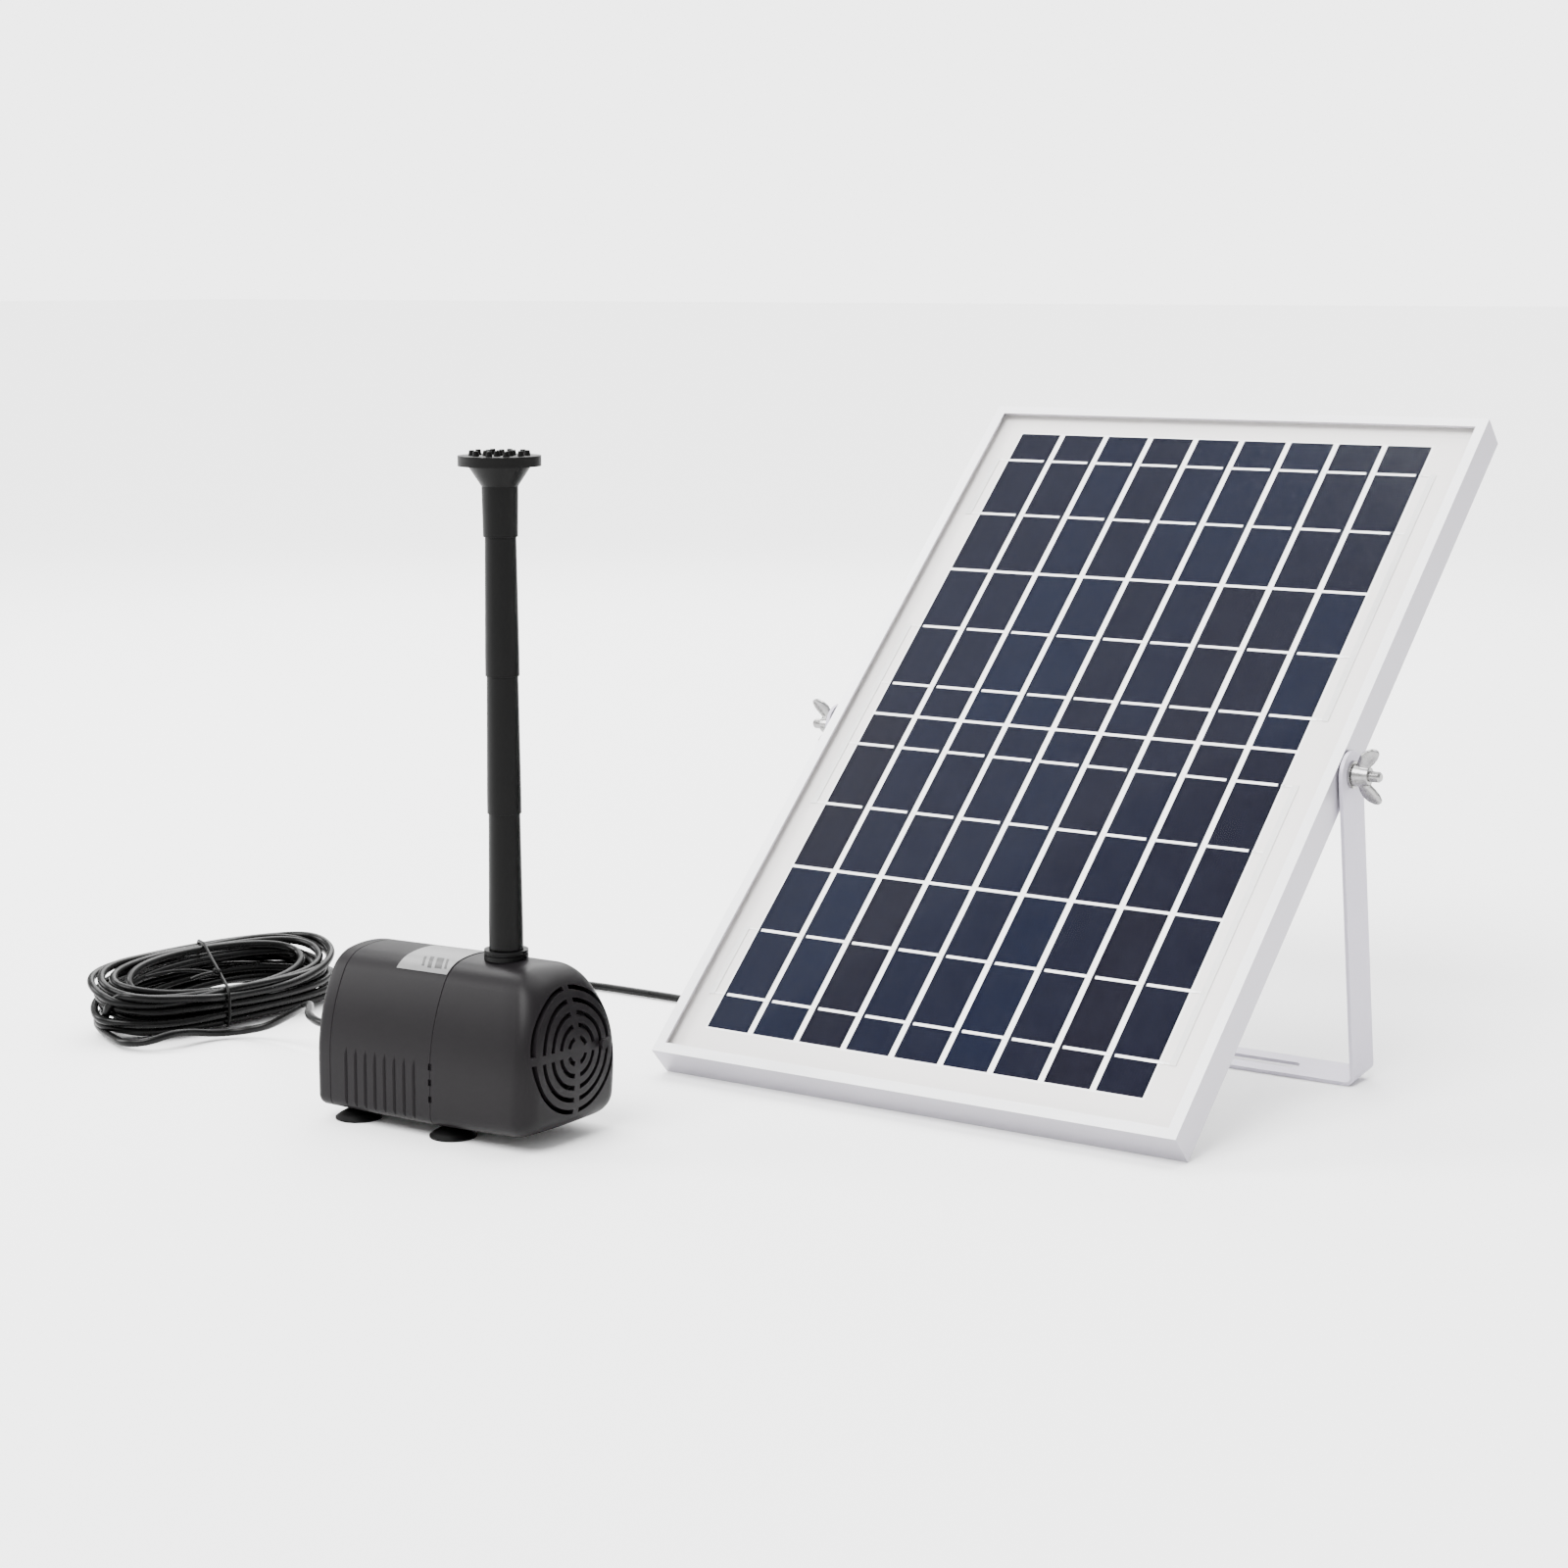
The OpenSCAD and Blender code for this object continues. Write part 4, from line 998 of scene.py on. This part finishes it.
def hank_line(seed=4):
    """Turns of the hank before they settle: each turn keeps to its own place in the bundle."""
    draw = np.random.default_rng(seed)
    slots = np.array(HANK_SLOTS + HANK_SLOTS[-1:]) - 1.5
    line = []
    for turn in range(len(HANK_SLOTS)):
        stray = draw.uniform(-1, 1, (4, 2)) * (1.3 * MM, 1.6 * MM)
        reach = draw.uniform(-3.5, 4) * MM
        for k in range(HANK_STEPS):
            share = k / HANK_STEPS
            # Starts at the near end, runs back along the far side and returns on the near side
            angle = math.pi + 2 * math.pi * share
            end, side = math.cos(angle), -math.sin(angle)
            blend = share * share * (3 - 2 * share)
            out, up = slots[turn] * (1 - blend) + slots[turn + 1] * blend
            wander = sum(stray[n] * math.cos((n + 1) * angle + turn) for n in range(4)) / 2
            flat_side = math.copysign(abs(side) ** 0.7, side)
            far = (1 + flat_side) / 2
            spread = 1 + 0.25 * abs(end)
            outward = Vector((end / 2.2, side)).normalized()
            radial = out * 3.7 * MM * spread + wander[0]
            half_long = HANK_FAR if end > 0 else HANK_NEAR
            along = (half_long + reach * abs(end)) * end + outward.x * radial
            across = HANK_WIDE * flat_side + outward.y * radial
            height = (8.5 + 8.5 * far) * MM + up * (3.6 + 1.3 * far) * MM * spread + wander[1]
            line.append((along, across, height))
    return np.array(line)


def settle(line, rounds):
    """Evens out the turns and pushes any that meet apart, above the floor and under the hank's top."""
    rest = np.linalg.norm(np.diff(line, axis=0), axis=1).mean()
    index = np.arange(len(line))
    apart = np.abs(index[:, None] - index[None, :]) > 4
    start = line.copy()
    clear = CORD_D * 1.03
    for _ in range(rounds):
        line[1:-1] += 0.1 * ((line[:-2] + line[2:]) / 2 - line[1:-1])
        gap = line[1:] - line[:-1]
        length = np.linalg.norm(gap, axis=1, keepdims=True)
        push = 0.25 * gap * (1 - rest / np.maximum(length, 1e-9))
        line[:-1] += push
        line[1:] -= push
        square = (line ** 2).sum(1)
        near2 = square[:, None] + square[None, :] - 2 * line @ line.T
        rows, columns = np.nonzero((near2 < clear ** 2) & apart)
        if len(rows):
            gap = line[rows] - line[columns]
            length = np.linalg.norm(gap, axis=1, keepdims=True)
            move = gap / np.maximum(length, 1e-6) * (clear - length) * 0.5
            total = np.zeros_like(line)
            count = np.zeros(len(line))
            np.add.at(total, rows, move)
            np.add.at(count, rows, 1)
            line += total / np.maximum(count, 1)[:, None] * 1.1
        line[:, 2] = np.clip(line[:, 2], CORD_D * 0.53, HANK_TOP - CORD_D / 2)
        line[[0, -1]] = start[[0, -1]]
    return line


def cord_points():
    """The whole lead as one line of points, and the hank's own frame."""
    lead_in = eased(in_row(PUMP_ROUTE), 6)
    gland_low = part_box("junction_box_gland")[0]
    mouth = np.array((middle("junction_box_gland").x, gland_low.y + 2.4 * MM, gland_low.z + 2.6 * MM))
    lead_out = eased(in_row(PANEL_ROUTE) + [mouth], 6)
    place = Matrix.Translation(HANK_MIDDLE + route_shift) @ Matrix.Rotation(HANK_TURN, 4, "Z")
    inverse = place.inverted()
    first, last = (np.array(inverse @ Vector(p)) for p in (lead_in[-1], lead_out[0]))
    turns = hank_line()
    part_turn = turns[:PART_TURN] + (0.006, -0.004, 0.004)
    joined = np.concatenate([[first], turns[5:], part_turn, [last]])
    settled = settle(respaced(joined, CORD_D * 1.05), 150)
    hank = np.array([tuple(place @ Vector(p)) for p in settled])
    line = respaced(np.concatenate([lead_in[:-1], hank, lead_out[1:]]), CORD_STEP)
    for _ in range(3):
        line[1:-1] += 0.25 * ((line[:-2] + line[2:]) / 2 - line[1:-1])
    return line, settled, place


def make_cord():
    line, settled, place = cord_points()
    length = float(np.linalg.norm(np.diff(line, axis=0), axis=1).sum())
    print("cord length", round(length, 3))
    curve = bpy.data.curves.new("lead", "CURVE")
    curve.dimensions = "3D"
    spline = curve.splines.new("POLY")
    spline.points.add(len(line) - 1)
    spline.points.foreach_set("co", np.concatenate([line, np.ones((len(line), 1))], axis=1).ravel())
    curve.bevel_depth = CORD_D / 2
    curve.bevel_resolution = 4
    curve.use_fill_caps = True
    cord = bpy.data.objects.new("lead", curve)
    bpy.context.scene.collection.objects.link(cord)
    curve.materials.append(materials["cord_pvc"])
    keep(cord, ROOT, "cord_pvc", "pump_lead", "cord_hank", "panel_lead")
    tie = make_tie(place, settled)


def tube(points, radius, sides=10):
    """Rings of a round tube along points, as a list of rings."""
    points = np.array(points)
    rings = []
    across = None
    for i in range(len(points)):
        ahead = points[min(i + 1, len(points) - 1)] - points[max(i - 1, 0)]
        ahead = ahead / max(np.linalg.norm(ahead), 1e-9)
        if across is None:
            across = np.cross(ahead, (0, 0, 1) if abs(ahead[2]) < 0.9 else (1, 0, 0))
        across = across - ahead * (across @ ahead)
        across /= max(np.linalg.norm(across), 1e-9)
        over = np.cross(across, ahead)
        rings.append([points[i] + radius * (math.cos(2 * math.pi * k / sides) * across
                                            + math.sin(2 * math.pi * k / sides) * over)
                      for k in range(sides)])
    return rings


def hull(points):
    """Convex hull of flat points, anticlockwise."""
    points = sorted(map(tuple, points))
    sides = []
    for run in (points, points[::-1]):
        side = []
        for p in run:
            while len(side) > 1 and ((side[-1][0] - side[-2][0]) * (p[1] - side[-2][1])
                                     - (side[-1][1] - side[-2][1]) * (p[0] - side[-2][0])) <= 0:
                side.pop()
            side.append(p)
        sides += side[:-1]
    return np.array(sides)


def tie_place(across):
    """How far along the hank the slanting tie lies."""
    return 0.55 * across - 4 * MM


def make_tie(place, turns):
    """Plastic-covered wire drawn tight round the hank's middle, twisted once, with two loose tails."""
    wire_r = 0.65 * MM
    held = turns[np.abs(turns[:, 0] - tie_place(turns[:, 1])) < 3 * MM, 1:]
    lift = wire_r * 1.15 + CORD_D / 2
    rim = [held + lift * np.array((math.cos(t), math.sin(t))) for t in np.linspace(0, 2 * math.pi, 24, False)]
    around = hull(np.concatenate(rim))
    around[:, 1] = np.maximum(around[:, 1], wire_r)
    closed = np.concatenate([around, around[:1]])
    loop = respaced(np.array([(tie_place(y), y, z) for y, z in closed]), 2 * MM)[:-1]
    knot_at = int(np.argmin(np.abs(loop[:, 1] + 13 * MM) - loop[:, 2]))
    loop = np.roll(loop, -knot_at, axis=0)
    loop[:, 0] += 1.2 * MM * np.sin(np.linspace(0, 2 * math.pi, len(loop)))
    knot = loop[0] + (0, 0, 0.8 * MM)
    twist = [knot + 0.8 * MM * np.array((-t * 1.1, math.cos(t * 3) + 0.4 * t, 0.3 * t + math.sin(t * 3)))
             for t in np.linspace(0, 3.4, 22)]
    paths = [eased(np.concatenate([loop, loop[:1]]), 3)]
    for spread, rise, reach in ((0.55, 0.30, 24), (-0.10, 0.12, 13)):
        run = [twist[-1] + np.array((-step, step * spread, step * rise - 0.012 * step * step)) * MM
               for step in np.linspace(1, reach, 6)]
        paths.append(eased(twist[::3] + run if spread > 0 else [twist[-1]] + run, 4))
    points, faces = [], []
    for path in paths:
        rings = tube(path, wire_r)
        base = len(points)
        count = len(rings[0])
        points += [place @ Vector(p) for ring in rings for p in ring]
        for i in range(len(rings) - 1):
            for k in range(count):
                a, b = base + i * count + k, base + i * count + (k + 1) % count
                faces.append((a, b, b + count, a + count))
        faces.append(tuple(base + k for k in range(count))[::-1])
        faces.append(tuple(base + (len(rings) - 1) * count + k for k in range(count)))
    tie = new_object("tie_wire", points, faces, materials["black_plastic"])
    outward(tie)
    smooth(tie, 60)
    return keep(tie, ROOT, "black_plastic", "twist_tie")


# ---- Everything ----

materials = {
    "frame_aluminium": aluminium_material(),
    "panel_glass": glass_material(),
    "gasket": plain_material("silicone_gasket", grey(0.45), grey(0.55), 0.6),
    "film": sheet_material(),
    "backsheet": sheet_material(),
    "silicon_cell": cell_material(cell_pitch, row_pitch, grid_low),
    "ribbon": ribbon_material(),
    "black_plastic": moulded_material("black_plastic", grey(0.0012), grey(0.002), 0.4, gloss=0.1),
    "zinc_steel": zinc_material(),
    "stand_paint": paint_material(),
    "white_nylon": moulded_material("white_nylon", grey(0.62), grey(0.7), 0.4),
    "pump_plastic": moulded_material("pump_plastic", (0.0052, 0.0046, 0.0052, 1),
                                     (0.0064, 0.0056, 0.0064, 1), 0.42, gloss=0.1),
    "riser_plastic": moulded_material("riser_plastic", grey(0.0008), grey(0.0012), 0.42, gloss=0.1),
    "black_rubber": rubber_material(),
    "label_paper": label_material(),
    "foam": foam_material(),
    "core_steel": plain_material("core_steel", grey(0.2), grey(0.3), 0.45, 0.9),
    "copper_wire": plain_material("copper_wire", (0.4, 0.15, 0.06, 1), (0.6, 0.26, 0.12, 1), 0.35, 0.9),
    "circuit_board": plain_material("circuit_board", (0.01, 0.09, 0.03, 1), (0.02, 0.13, 0.05, 1), 0.4),
    "ceramic": plain_material("ceramic", grey(0.7), grey(0.8), 0.3),
    "magnet": plain_material("magnet", grey(0.05), grey(0.09), 0.5, 0.6),
    "cord_pvc": cord_material(),
}
connector_finish = connector_material()


def paint_nodes():
    """Gives every CAD node its slot's material and smooth shading with sharp creases."""
    for entry in record["subparts"]:
        node = frame["nodes"][entry["node"]]
        finish = materials[entry["material_slot"]]
        if entry["node"] == "string_connectors":
            finish = connector_finish
        node.data.materials.clear()
        node.data.materials.append(finish)
        for face in node.data.polygons:
            face.use_smooth = True
        node.data.set_sharp_from_angle(angle=math.radians(32))


# Edge radius of each CAD node, in millimetres
EDGE_ROUNDS = {
    "stand_bracket": 0.35, "frame_rail_left": 0.25, "frame_rail_right": 0.25, "frame_rail_top": 0.25,
    "frame_rail_bottom": 0.25, "junction_box_base": 1.0, "junction_box_lid": 0.8, "pivot_bolts": 0.25,
    "bracket_washers": 0.15, "suction_cups": 0.2, "nozzle_body": 0.3, "nozzle_plate": 0.3,
    "riser_tube_1": 0.25, "riser_tube_2": 0.25, "riser_tube_3": 0.25, "outlet_adapter": 0.25,
    "flow_adjuster": 0.3, "pump_gland": 0.4, "junction_box_gland": 0.4,
}


def round_edges():
    for name, radius in EDGE_ROUNDS.items():
        bevel = frame["nodes"][name].modifiers.new("edge_round", "BEVEL")
        bevel.width = radius * MM
        bevel.segments = 3
        bevel.limit_method = "ANGLE"
        bevel.angle_limit = math.radians(40)
        bevel.harden_normals = True


make_camera()
make_cord()
make_studio()
paint_nodes()
round_edges()
make_housing()
make_rear_cap()
make_label()
make_front_cover()
make_ribbons()
make_wing_nut("left")
make_wing_nut("right")
